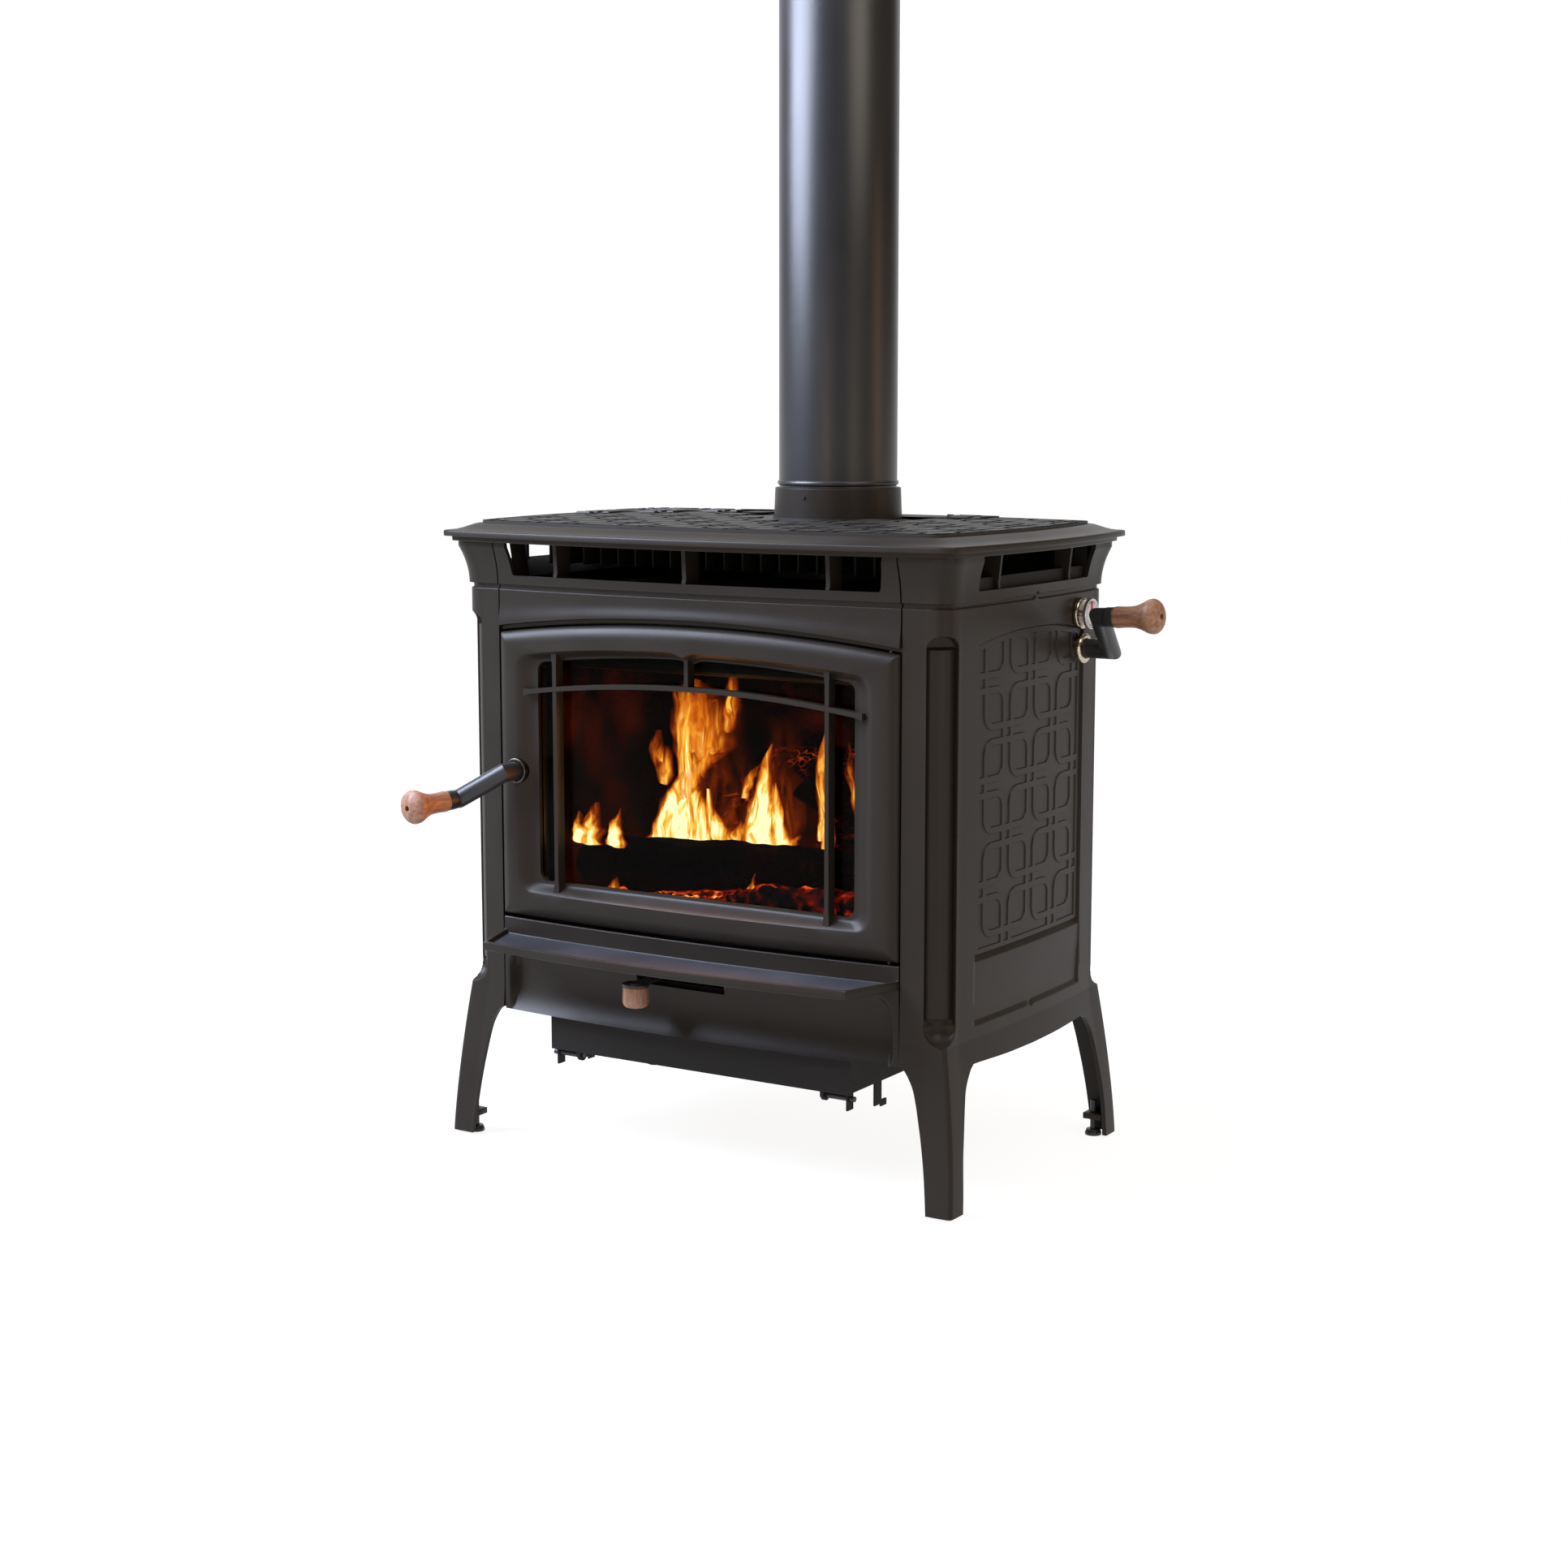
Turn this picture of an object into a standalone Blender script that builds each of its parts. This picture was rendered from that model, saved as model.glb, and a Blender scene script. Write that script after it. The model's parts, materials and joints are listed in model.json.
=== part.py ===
"""A cast-iron wood burning stove: a hinged glass door with a cranked handle, a bypass damper crank, a
thermometer, a sliding air control, a drop-down ash door and four levelling feet.

Metres, +Z up, +X to the right of someone facing the door, -Y out of the door.
The origin is on the floor, at the centre of the four legs.
"""

from math import cos, pi, sin

import bmesh
import bpy
from mathutils import Matrix, Vector

# Body: front, rear and sides are bowed, so they fall back with the square of the distance from the middle.
FRONT_REACH = 0.226
FRONT_CURVE = 0.1755
SIDE_REACH = 0.356
SIDE_CURVE = 0.2
SEAM_X = 0.2915
PANEL_HALF = 0.2895
WALL = 0.006
PANEL_WALL = 0.012
LEG_BOTTOM = 0.003
LEG_TOP = 0.2
LEG_SPLAY_X = 0.0199
LEG_SPLAY_Y = 0.0187
BODY_TOP = 0.7695

# Cornice: a groove, a cove that flares out, and a lip under the top plate.
GROOVE_Z = 0.7115
COVE_Z = 0.7165
LIP_Z = 0.762
COVE_START = 0.002
LIP_REACH = 0.0115

# Corner posts: a fluted hollow with a half-round column in it.
CORNER_X = 0.3195
CORNER_Y = 0.1775
FLUTE_LOW = 0.2
FLUTE_HIGH = 0.674
FLUTE_END = 0.009

# Grille openings under the top plate.
GRILLE_Z = 0.7285
FRONT_GRILLE_HALF = 0.268
SIDE_GRILLE_HALF = 0.1455

# Top plate and flue.
PLATE_X = 0.366
PLATE_Y = 0.229
PLATE_BOW_FRONT = 0.0315
PLATE_BOW_SIDE = 0.021
PLATE_BOTTOM = 0.770
PLATE_TOP = 0.7955
FLUE_Y = 0.133
PIPE_R = 0.0768
PIPE_WALL = 0.0015
PIPE_TOP = 1.5
COLLAR_TOP = 0.833

# Front panels.
ARCH_Z = 0.6853
ARCH_DROP = 0.0199
DOOR_HALF = 0.2888
DOOR_BOTTOM = 0.297
DOOR_TOP = 0.6763
DOOR_DROP = 0.0192
DOOR_BACK = -0.186
CHAMFER = 0.018
HINGE_X = 0.273
HINGE_Y = -0.2045
HINGE_PIN_R = 0.002
GLASS_FRONT = -0.2068
GLASS_THICK = 0.005
STRIP_TOP = 0.2925
TRAY_TOP = 0.2755
TRAY_BOTTOM = 0.2645
TRAY_HALF = 0.263
VALANCE_BOTTOM = 0.172
VALANCE_TOP = 0.264

# Firebox.
FIREBOX_HALF = 0.268
FIREBOX_FRONT = -0.1697
FIREBOX_REAR = 0.2085
FIREBOX_BOTTOM = 0.243
FIREBOX_TOP = 0.71
FIREBOX_WALL = 0.005
FRAME_FRONT = -0.1753
BRICK = 0.029
OUTLET_R = 0.069

# Controls.
CRANK_R = 0.0119
DOOR_HANDLE = Vector((-0.2593, -0.2235, 0.4836))
BYPASS = Vector((0.3542, 0.1285, 0.6413))
GAUGE = Vector((0.3542, 0.1225, 0.685))
KNOB = Vector((-0.0495, -0.262, 0.2395))
SLOT_X = (-0.081, 0.049)

# Ash box.
ASH_HALF = 0.2217
ASH_BOTTOM = 0.1285
ASH_PIVOT_Y = -0.196
ASH_PIVOT_Z = 0.1205
FOOT_X = 0.3465
FOOT_Y = 0.205

GAP = 0.0003


def new_collection(name):
    collection = bpy.data.collections.new(name)
    bpy.context.scene.collection.children.link(collection)
    return collection


for old in list(bpy.data.objects):
    bpy.data.objects.remove(old)
PARTS = new_collection("wood_stove")
CUTTERS = new_collection("cutters")


def paint(name, colour, roughness, metallic):
    material = bpy.data.materials.new(name)
    material.use_nodes = True
    shader = material.node_tree.nodes["Principled BSDF"]
    shader.inputs["Base Color"].default_value = (*colour, 1)
    shader.inputs["Roughness"].default_value = roughness
    shader.inputs["Metallic"].default_value = metallic
    return material


ENAMEL = paint("enamel", (0.075, 0.072, 0.07), 0.5, 0.3)
BLACK_IRON = paint("black_iron", (0.02, 0.018, 0.016), 0.6, 0.4)
BLACK_STEEL = paint("black_steel", (0.03, 0.03, 0.032), 0.35, 0.8)
NICKEL = paint("nickel", (0.5, 0.42, 0.32), 0.25, 1.0)
WALNUT = paint("walnut", (0.30, 0.16, 0.09), 0.5, 0.0)
GLASS = paint("ceramic_glass", (0.05, 0.03, 0.02), 0.05, 0.0)
BRICKWORK = paint("firebrick", (0.45, 0.36, 0.26), 0.9, 0.0)
ROPE = paint("gasket_rope", (0.12, 0.12, 0.12), 0.95, 0.0)
BARK = paint("charred_wood", (0.05, 0.03, 0.02), 0.95, 0.0)
EMBER = paint("embers", (0.5, 0.08, 0.02), 0.9, 0.0)
DIAL = paint("dial_face", (0.6, 0.6, 0.6), 0.5, 0.0)
RED = paint("red_pointer", (0.6, 0.03, 0.03), 0.4, 0.0)


# Making objects


def add(name, data, material, collection=PARTS):
    made = bpy.data.objects.new(name, data)
    data.materials.append(material)
    collection.objects.link(made)
    if collection is CUTTERS:
        made.hide_render = True
        made.display_type = "WIRE"
    return made


def mesh_from(name, shape):
    mesh = bpy.data.meshes.new(name)
    bmesh.ops.recalc_face_normals(shape, faces=shape.faces)
    shape.to_mesh(mesh)
    shape.free()
    return mesh


def block(name, low, high, material, bevel=0.0, collection=PARTS):
    low, high = Vector(low), Vector(high)
    shape = bmesh.new()
    bmesh.ops.create_cube(shape, size=1)
    for vert in shape.verts:
        vert.co = Vector(c * s for c, s in zip(vert.co, high - low))
    made = add(name, mesh_from(name, shape), material, collection)
    made.location = (low + high) / 2
    if bevel:
        soften(made, bevel)
    return made


def soften(obj, width, segments=1):
    bevel = obj.modifiers.new("rounded edges", "BEVEL")
    bevel.width = width
    bevel.segments = segments
    return bevel


def turned(name, profile, place, direction, material, steps=24, hollow=False, collection=PARTS):
    """A turned shape. The profile is (radius, height) pairs that run down the outer side."""
    mesh = bpy.data.meshes.new(name)
    edges = [(i, i + 1) for i in range(len(profile) - 1)]
    if hollow:
        edges.append((len(profile) - 1, 0))
    mesh.from_pydata([(radius, 0, height) for radius, height in profile], edges, [])
    made = add(name, mesh, material, collection)
    turn = made.modifiers.new("turn", "SCREW")
    turn.steps = turn.render_steps = steps
    turn.use_merge_vertices = True
    turn.merge_threshold = 0.00002
    made.location = place
    made.rotation_euler = Vector(direction).to_track_quat("Z", "Y").to_euler()
    return made


def rod(name, start, end, radius, material, steps=16, collection=PARTS):
    start, end = Vector(start), Vector(end)
    length = (end - start).length
    profile = [(0, length), (radius, length), (radius, 0), (0, 0)]
    return turned(name, profile, start, end - start, material, steps, collection=collection)


def tube_ring(name, radius, bore, start, end, material, steps=24):
    start, end = Vector(start), Vector(end)
    length = (end - start).length
    profile = [(radius, length), (radius, 0), (bore, 0), (bore, length)]
    return turned(name, profile, start, end - start, material, steps, hollow=True)


def plate(name, outlines, thickness, material, collection=PARTS, upright=None):
    """A flat plate: its outlines are in the XY plane, in XZ with upright "front", or in YZ with "side"."""
    curve = bpy.data.curves.new(name, "CURVE")
    curve.dimensions = "2D"
    curve.fill_mode = "BOTH"
    curve.extrude = thickness / 2
    for outline in outlines:
        spline = curve.splines.new("POLY")
        spline.points.add(len(outline) - 1)
        for point, (a, b) in zip(spline.points, outline):
            point.co = (a, b, 0, 1)
        spline.use_cyclic_u = True
    flat = bpy.data.objects.new(name, curve)
    PARTS.objects.link(flat)
    bpy.context.view_layer.update()
    evaluated = flat.evaluated_get(bpy.context.evaluated_depsgraph_get())
    shape = bmesh.new()
    shape.from_mesh(bpy.data.meshes.new_from_object(evaluated))
    bpy.data.objects.remove(flat)
    bmesh.ops.remove_doubles(shape, verts=shape.verts, dist=0.00001)
    if upright == "front":
        shape.transform(Matrix.Rotation(pi / 2, 4, "X"))
    if upright == "side":
        shape.transform(Matrix.Rotation(pi / 2, 4, "Z") @ Matrix.Rotation(pi / 2, 4, "X"))
    return add(name, mesh_from(name, shape), material, collection)


def formed_wall(name, across, up, outer, inner, material):
    """A curved cast wall: outer(a, b) and inner(a, b) are its faces, for a in across and b in up."""
    shape = bmesh.new()
    faces = [[[shape.verts.new(face(a, b)) for a in across] for b in up] for face in (outer, inner)]
    for rows in faces:
        for low, high in zip(rows, rows[1:]):
            for i in range(len(across) - 1):
                shape.faces.new((low[i], low[i + 1], high[i + 1], high[i]))
    rims = []
    for rows in faces:
        left = [row[0] for row in rows[-2:0:-1]]
        rims.append(rows[0] + [row[-1] for row in rows[1:-1]] + rows[-1][::-1] + left)
    for i in range(len(rims[0])):
        j = (i + 1) % len(rims[0])
        shape.faces.new((rims[0][i], rims[0][j], rims[1][j], rims[1][i]))
    bmesh.ops.triangulate(shape, faces=shape.faces)
    return add(name, mesh_from(name, shape), material)


def loft(name, rings, material, closed=False, collection=PARTS):
    """Rings of the same number of points, joined in turn. Its ends are capped, or closed on each other."""
    shape = bmesh.new()
    rows = [[shape.verts.new(point) for point in ring] for ring in rings]
    pairs = list(zip(rows, rows[1:]))
    if closed:
        pairs.append((rows[-1], rows[0]))
    else:
        shape.faces.new(rows[0])
        shape.faces.new(rows[-1])
    for lower, upper in pairs:
        for i, first in enumerate(lower):
            j = (i + 1) % len(lower)
            shape.faces.new((first, lower[j], upper[j], upper[i]))
    bmesh.ops.triangulate(shape, faces=shape.faces)
    return add(name, mesh_from(name, shape), material, collection)


def bent_tube(name, points, radii, material, sides=3):
    """A round bar along the points, with a radius at each."""
    curve = bpy.data.curves.new(name, "CURVE")
    curve.dimensions = "3D"
    curve.bevel_depth = 1
    curve.bevel_resolution = sides
    curve.use_fill_caps = True
    spline = curve.splines.new("POLY")
    spline.points.add(len(points) - 1)
    for target, point, radius in zip(spline.points, points, radii):
        target.co = (*point, 1)
        target.radius = radius
    return add(name, curve, material)


def combine(obj, other, operation="DIFFERENCE"):
    boolean = obj.modifiers.new(other.name, "BOOLEAN")
    boolean.operation = operation
    boolean.solver = "EXACT"
    boolean.object = other


def cut_block(obj, low, high):
    combine(obj, block(obj.name + "_cut", low, high, BLACK_IRON, collection=CUTTERS))


def cut_bore(obj, start, end, radius, steps=24):
    combine(obj, rod(obj.name + "_bore", start, end, radius, BLACK_IRON, steps, CUTTERS))


def join_block(obj, low, high):
    combine(obj, block(obj.name + "_joined", low, high, BLACK_IRON, collection=CUTTERS), "UNION")


def pivot(name, place):
    empty = bpy.data.objects.new(name, None)
    empty.location = place
    PARTS.objects.link(empty)
    return empty


def hang(empty, *pieces):
    """Parents pieces to a joint's empty, and leaves them where they are."""
    for piece in pieces:
        piece.parent = empty
        piece.matrix_parent_inverse = Matrix.Translation(empty.location).inverted()


# Shapes that several parts share


def front_depth(x):
    return FRONT_REACH - FRONT_CURVE * x * x


def side_width(y):
    return SIDE_REACH - SIDE_CURVE * y * y


def cove(z):
    """How far the cornice stands out at a height."""
    if z < GROOVE_Z:
        return 0.0
    if z < COVE_Z:
        return -0.002
    if z <= LIP_Z:
        return COVE_START + 0.009 * ((z - COVE_Z) / (LIP_Z - COVE_Z)) ** 2
    return LIP_REACH


def splay_x(z):
    return LEG_SPLAY_X * (1 - (min(z, LEG_TOP) / LEG_TOP) ** 1.6)


def splay_y(z):
    return LEG_SPLAY_Y * (1 - min(z, LEG_TOP) / LEG_TOP)


def spread(low, high, count):
    """Count + 1 even steps from low to high."""
    return [low + (high - low) * i / count for i in range(count + 1)]


def window(half, bottom, top, drop, corner, ends=3):
    """A window outline in x and z: an arched top that drops by drop at its ends, and round corners."""

    def arch(x):
        return top - drop * (x / half) ** 2

    points = [(x, bottom) for x in spread(corner - half, half - corner, 6)]
    points += arc(half - corner, bottom + corner, corner, -pi / 2, 0, ends)[1:]
    points += arc(half - corner, arch(half - corner) - corner, corner, 0, pi / 2, ends)
    points += [(x, arch(x)) for x in spread(half - corner, corner - half, 12)[1:-1]]
    points += arc(corner - half, arch(half - corner) - corner, corner, pi / 2, pi, ends)
    points += arc(corner - half, bottom + corner, corner, pi, 1.5 * pi, ends)[:-1]
    return points


def arc(centre_a, centre_b, radius, start, end, steps):
    turn = spread(start, end, steps)
    return [(centre_a + radius * cos(t), centre_b + radius * sin(t)) for t in turn]


def fillet(points, radius, steps=4):
    """The points of a path with its inner corners rounded."""
    path = [points[0]]
    for before, corner, after in zip(points, points[1:], points[2:]):
        start = corner + (before - corner).normalized() * radius
        end = corner + (after - corner).normalized() * radius
        for t in spread(0, 1, steps):
            path.append(start * (1 - t) ** 2 + corner * 2 * t * (1 - t) + end * t * t)
    path.append(points[-1])
    return path


# Side castings: a side wall, its two corner posts and the legs below them


def flute_weight(z):
    if FLUTE_LOW < z < FLUTE_HIGH:
        return 1.0
    return 0.0


FLUTE = {0.0: -0.003, 0.1: -0.008, 0.25: -0.001, 0.5: 0.002, 0.75: -0.001, 0.9: -0.008, 1.0: -0.003}


def corner_point(t, z):
    """The corner post's face in plan, for the corner in +x and +y, from its front at 0 to its side at 1."""
    front = Vector((CORNER_X, front_depth(CORNER_X)))
    side = Vector((side_width(CORNER_Y), CORNER_Y))
    tip = Vector((side.x, front.y))
    plain = front * (1 - t) ** 2 + tip * 2 * t * (1 - t) + side * t * t
    chord = front.lerp(side, t)
    outward = Vector((0.727, 0.687))
    fluted = chord + outward * FLUTE[t]
    weight = flute_weight(z)
    return plain.lerp(fluted, weight)


def casting_outer(station, z):
    """A point of the right casting's outer face."""
    kind, value, end = station
    if kind == "front":
        share = (value - SEAM_X) / (CORNER_X - SEAM_X)
        x = value + (splay_x(z) + cove(z)) * share
        return Vector((x, end * (front_depth(value) + cove(z) + splay_y(z)), z))
    if kind == "side":
        return Vector((side_width(value) + cove(z) + splay_x(z), value, z))
    point = corner_point(value, z)
    return Vector((point.x + cove(z) + splay_x(z), end * (point.y + cove(z) + splay_y(z)), z))


def casting_inner(station, z):
    """The inner face, a wall's thickness behind the outer one and smooth behind the groove."""
    kind, value, end = station
    turned_by = {"front": 0, "side": 1, "corner": value}[kind] * pi / 2
    depth = WALL + min(cove(z), 0)
    return casting_outer(station, z) - Vector((sin(turned_by), end * cos(turned_by), 0)) * depth


def casting_stations():
    """From the front seam, round the front corner, along the side, and round the rear corner."""
    turn = sorted(FLUTE)
    stations = [("front", SEAM_X, -1), ("front", 0.3055, -1)]
    stations += [("corner", t, -1) for t in turn]
    stations += [("side", y, 0) for y in spread(-0.15, 0.15, 6)]
    stations += [("corner", t, 1) for t in reversed(turn)]
    stations += [("front", 0.3055, 1), ("front", SEAM_X, 1)]
    return stations


CASTING_ROWS = [LEG_BOTTOM, 0.04, 0.08, 0.12, 0.15, 0.175, FLUTE_LOW, FLUTE_LOW + FLUTE_END]
CASTING_ROWS += [FLUTE_HIGH - FLUTE_END, FLUTE_HIGH, GROOVE_Z - 0.0005, GROOVE_Z, COVE_Z - 0.0005, COVE_Z]
CASTING_ROWS += [0.73, 0.742, 0.753, LIP_Z, LIP_Z + 0.001, BODY_TOP]

# The inner edges of a leg, as (distance from the middle, height), from the arch down.
LEG_FRONT_EDGE = [(0.289, 0.175), (0.299, 0.1694), (0.3098, 0.1516), (0.3155, 0.1331), (0.3196, 0.1145)]
LEG_FRONT_EDGE += [(0.3255, 0.085), (0.3315, 0.045), (0.3371, -0.01)]
LEG_SIDE_EDGE = [(0.0, 0.168), (0.14, 0.1715), (0.1495, 0.17), (0.1577, 0.1635), (0.169, 0.1482)]
LEG_SIDE_EDGE += [(0.1755, 0.1304), (0.1846, 0.0939), (0.1916, 0.0569), (0.1966, -0.01)]


def side_casting(name, side):
    stations = casting_stations()

    def outer(station, z):
        point = casting_outer(station, z)
        return Vector((side * point.x, point.y, z))

    def inner(station, z):
        point = casting_inner(station, z)
        return Vector((side * point.x, point.y, z))

    made = formed_wall(name, stations, CASTING_ROWS, outer, inner, ENAMEL)
    arch = [(y, z) for y, z in LEG_SIDE_EDGE] + [(-y, z) for y, z in LEG_SIDE_EDGE[:0:-1]]
    between_legs = plate(name + "_side_arch", [arch], 0.1, BLACK_IRON, CUTTERS, "side")
    between_legs.location.x = side * 0.37
    combine(made, between_legs)
    leg_edge = [(side * 0.25, -0.01), (side * 0.25, 0.175)] + [(side * x, z) for x, z in LEG_FRONT_EDGE]
    for end in (-1, 1):
        below_seam = plate(name + "_leg_arch", [leg_edge], 0.08, BLACK_IRON, CUTTERS, "front")
        below_seam.location.y = end * 0.225
        combine(made, below_seam)
    reach = (side * 0.3, side * 0.4)
    grille = SIDE_GRILLE_HALF
    cut_block(made, (min(reach), -grille, GRILLE_Z), (max(reach), grille, BODY_TOP + 0.01))
    edges = (side * 0.325, side * 0.3515)
    for bar in (-0.0926, 0.0926):
        bar_low = (min(edges), bar - 0.003, GRILLE_Z - 0.004)
        join_block(made, bar_low, (max(edges), bar + 0.003, BODY_TOP - 0.0005))
    lug = (side * 0.336, side * 0.3615)
    for end in (-1, 1):
        depth = (end * 0.1945, end * 0.2195)
        join_block(made, (min(lug), min(depth), 0.022), (max(lug), max(depth), 0.03))
        place = Vector((side * FOOT_X, end * FOOT_Y, 0))
        cut_bore(made, place + Vector((0, 0, 0.01)), place + Vector((0, 0, 0.06)), 0.0048, 12)
    return made


left_side_casting = side_casting("left_side_casting", -1)
right_side_casting = side_casting("right_side_casting", 1)
for axis in (BYPASS, GAUGE):
    cut_bore(right_side_casting, axis - Vector((0.06, 0, 0)), axis + Vector((0.06, 0, 0)), 0.015)


# Front and rear panels


def upper_row(x, z):
    """The lowest row follows the arch over the door."""
    if z == 0:
        return ARCH_Z - ARCH_DROP * (x / PANEL_HALF) ** 2
    return z


def upper_outer(x, z):
    return Vector((x, -front_depth(x) - cove(z), upper_row(x, z)))


def upper_inner(x, z):
    wall = PANEL_WALL if z < 0.7 else WALL
    return Vector((x, -front_depth(x) - max(cove(z), 0) + wall, upper_row(x, z)))


UPPER_ROWS = [0, 0.695] + CASTING_ROWS[CASTING_ROWS.index(GROOVE_Z - 0.0005) :]
COLUMNS = spread(-PANEL_HALF, PANEL_HALF, 12)
upper_front_panel = formed_wall("upper_front_panel", COLUMNS, UPPER_ROWS, upper_outer, upper_inner, ENAMEL)
cut_block(upper_front_panel, (-FRONT_GRILLE_HALF, -0.3, GRILLE_Z), (FRONT_GRILLE_HALF, -0.1, BODY_TOP + 0.01))
for bar in (-0.1964, 0, 0.1964):
    near = -front_depth(bar) + 0.0015
    bar_low = (bar - 0.003, near, GRILLE_Z - 0.004)
    join_block(upper_front_panel, bar_low, (bar + 0.003, near + 0.03, BODY_TOP - 0.0005))


def rear_outer(x, z):
    return Vector((x, front_depth(x), z))


def rear_inner(x, z):
    return Vector((x, front_depth(x) - 0.003, z))


rear_panel = formed_wall("rear_panel", COLUMNS, [LEG_TOP, BODY_TOP], rear_outer, rear_inner, BLACK_IRON)


def valance_outer(x, z):
    rise = (z - VALANCE_BOTTOM) / (VALANCE_TOP - VALANCE_BOTTOM)
    fade = max(0.0, min(1.0, (PANEL_HALF - 0.006 - abs(x)) / 0.02))
    hollow = 0.014 * sin(pi * min(1.0, rise * 1.02) ** 0.85) * fade
    return Vector((x, -front_depth(x) + hollow, z))


def valance_inner(x, z):
    return valance_outer(x, z) + Vector((0, 0.005, 0))


VALANCE_COLUMNS = [-PANEL_HALF, -0.2835] + spread(-0.2635, 0.2635, 10) + [0.2835, PANEL_HALF]
VALANCE_ROWS = spread(VALANCE_BOTTOM, VALANCE_TOP, 8)
VALANCE_FACES = (valance_outer, valance_inner)
lower_valance = formed_wall("lower_valance", VALANCE_COLUMNS, VALANCE_ROWS, *VALANCE_FACES, ENAMEL)
cut_block(lower_valance, (SLOT_X[0], -0.26, 0.2305), (SLOT_X[1], -0.18, 0.2445))


# Ash lip: the strip below the door, and the tray that catches embers


def tray_front(x):
    """The tray's front edge: bowed, with its corners cut back to the strip."""
    if abs(x) <= TRAY_HALF:
        return 0.246 * x * x - 0.306
    share = (abs(x) - TRAY_HALF) / (PANEL_HALF - TRAY_HALF)
    return -0.289 + share * (0.289 - 0.0015 - front_depth(PANEL_HALF))


def lip_section(x):
    """A slice of the strip and tray: the strip's back, the tray's rim and floor, the strip's face."""
    strip = -front_depth(x)
    edge = tray_front(x)
    rim = min(1, (strip - edge) / 0.02)
    floor = TRAY_TOP - (0.004 if abs(x) < 0.266 else 0.0004)
    section = [(strip + PANEL_WALL, STRIP_TOP), (strip + PANEL_WALL, TRAY_BOTTOM)]
    section += [(edge + 0.002 * rim, TRAY_BOTTOM), (edge, TRAY_BOTTOM + 0.002), (edge, TRAY_TOP - 0.001)]
    section += [(edge + 0.001 * rim, TRAY_TOP), (edge + 0.0045 * rim, TRAY_TOP), (edge + 0.0065 * rim, floor)]
    section += [(strip, floor), (strip, STRIP_TOP)]
    return [(x, y, z) for y, z in section]


TRAY_ENDS = [0.2665, 0.277, PANEL_HALF]
TRAY_COLUMNS = [-x for x in TRAY_ENDS[::-1]] + spread(-TRAY_HALF, TRAY_HALF, 12) + TRAY_ENDS
ash_lip = loft("ash_lip", [lip_section(x) for x in TRAY_COLUMNS], ENAMEL)


# Top plate, with a raised middle and a sloping border


def plate_outline(inset, z):
    half_x, half_y = PLATE_X - inset, PLATE_Y - inset
    points = []
    for x in spread(-half_x, half_x, 10)[:-1]:
        points.append((x, -half_y - PLATE_BOW_FRONT * (1 - (x / half_x) ** 2), z))
    for y in spread(-half_y, half_y, 8)[:-1]:
        points.append((half_x + PLATE_BOW_SIDE * (1 - (y / half_y) ** 2), y, z))
    return points + [(-x, -y, z) for x, y, z in points]


PLATE_STEPS = [(0.02, 0.786), (0.016, PLATE_BOTTOM), (0.0075, PLATE_BOTTOM), (0.0075, 0.776), (0, 0.776)]
PLATE_STEPS += [(0, 0.7822), (0.0015, 0.7835), (0.012, 0.7848), (0.024, 0.7895), (0.033, 0.7928)]
PLATE_STEPS.append((0.0345, PLATE_TOP))
top_plate = loft("top_plate", [plate_outline(inset, z) for inset, z in PLATE_STEPS], ENAMEL)
cut_bore(top_plate, (0, FLUE_Y, 0.75), (0, FLUE_Y, 0.81), 0.0845, 32)

COLLAR = [(0.0818, COLLAR_TOP), (0.0833, 0.79), (0.0833, 0.718), (0.0885, 0.717), (0.0885, FIREBOX_TOP + GAP)]
COLLAR += [(OUTLET_R, FIREBOX_TOP + GAP), (OUTLET_R, 0.795), (0.0775, 0.796), (0.0775, COLLAR_TOP)]
flue_collar = turned("flue_collar", COLLAR, (0, FLUE_Y, 0), (0, 0, 1), ENAMEL, 32, hollow=True)
BEAD = [(PIPE_R, 0.8425), (PIPE_R + 0.002, 0.8408), (PIPE_R + 0.002, 0.8376), (PIPE_R, 0.836)]
PIPE_BORE = PIPE_R - PIPE_WALL
PIPE = [(PIPE_R, PIPE_TOP), *BEAD, (PIPE_R, 0.7965), (PIPE_BORE, 0.7965), (PIPE_BORE, PIPE_TOP)]
flue_pipe = turned("flue_pipe", PIPE, (0, FLUE_Y, 0), (0, 0, 1), ENAMEL, 32, hollow=True)
SCREW_START = Vector((-0.0022, FLUE_Y - 0.0778, 0.822))
cut_bore(flue_collar, SCREW_START + Vector((0, 0.004, 0)), SCREW_START + Vector((0, -0.01, 0)), 0.0026, 10)
rod("collar_screw", SCREW_START, SCREW_START + Vector((0, -0.006, 0)), 0.0022, BLACK_STEEL, 10)


def fin_comb():
    """Heat fins that hang under the top plate, behind the front grille."""
    outline = [(0.212, 0.7857), (-0.2, 0.7857)]
    for i in range(16):
        x = -0.19 + 0.0262 * i
        outline += [(x - 0.0012, 0.7785), (x - 0.0012, 0.742), (x + 0.0012, 0.742), (x + 0.0012, 0.7785)]
    outline[2:2] = [(-0.2, 0.7785)]
    outline.append((0.212, 0.7785))
    return outline


convection_fins = plate("convection_fins", [fin_comb()], 0.06, BLACK_IRON, upright="front")
convection_fins.location.y = -0.138


# Firebox


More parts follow.
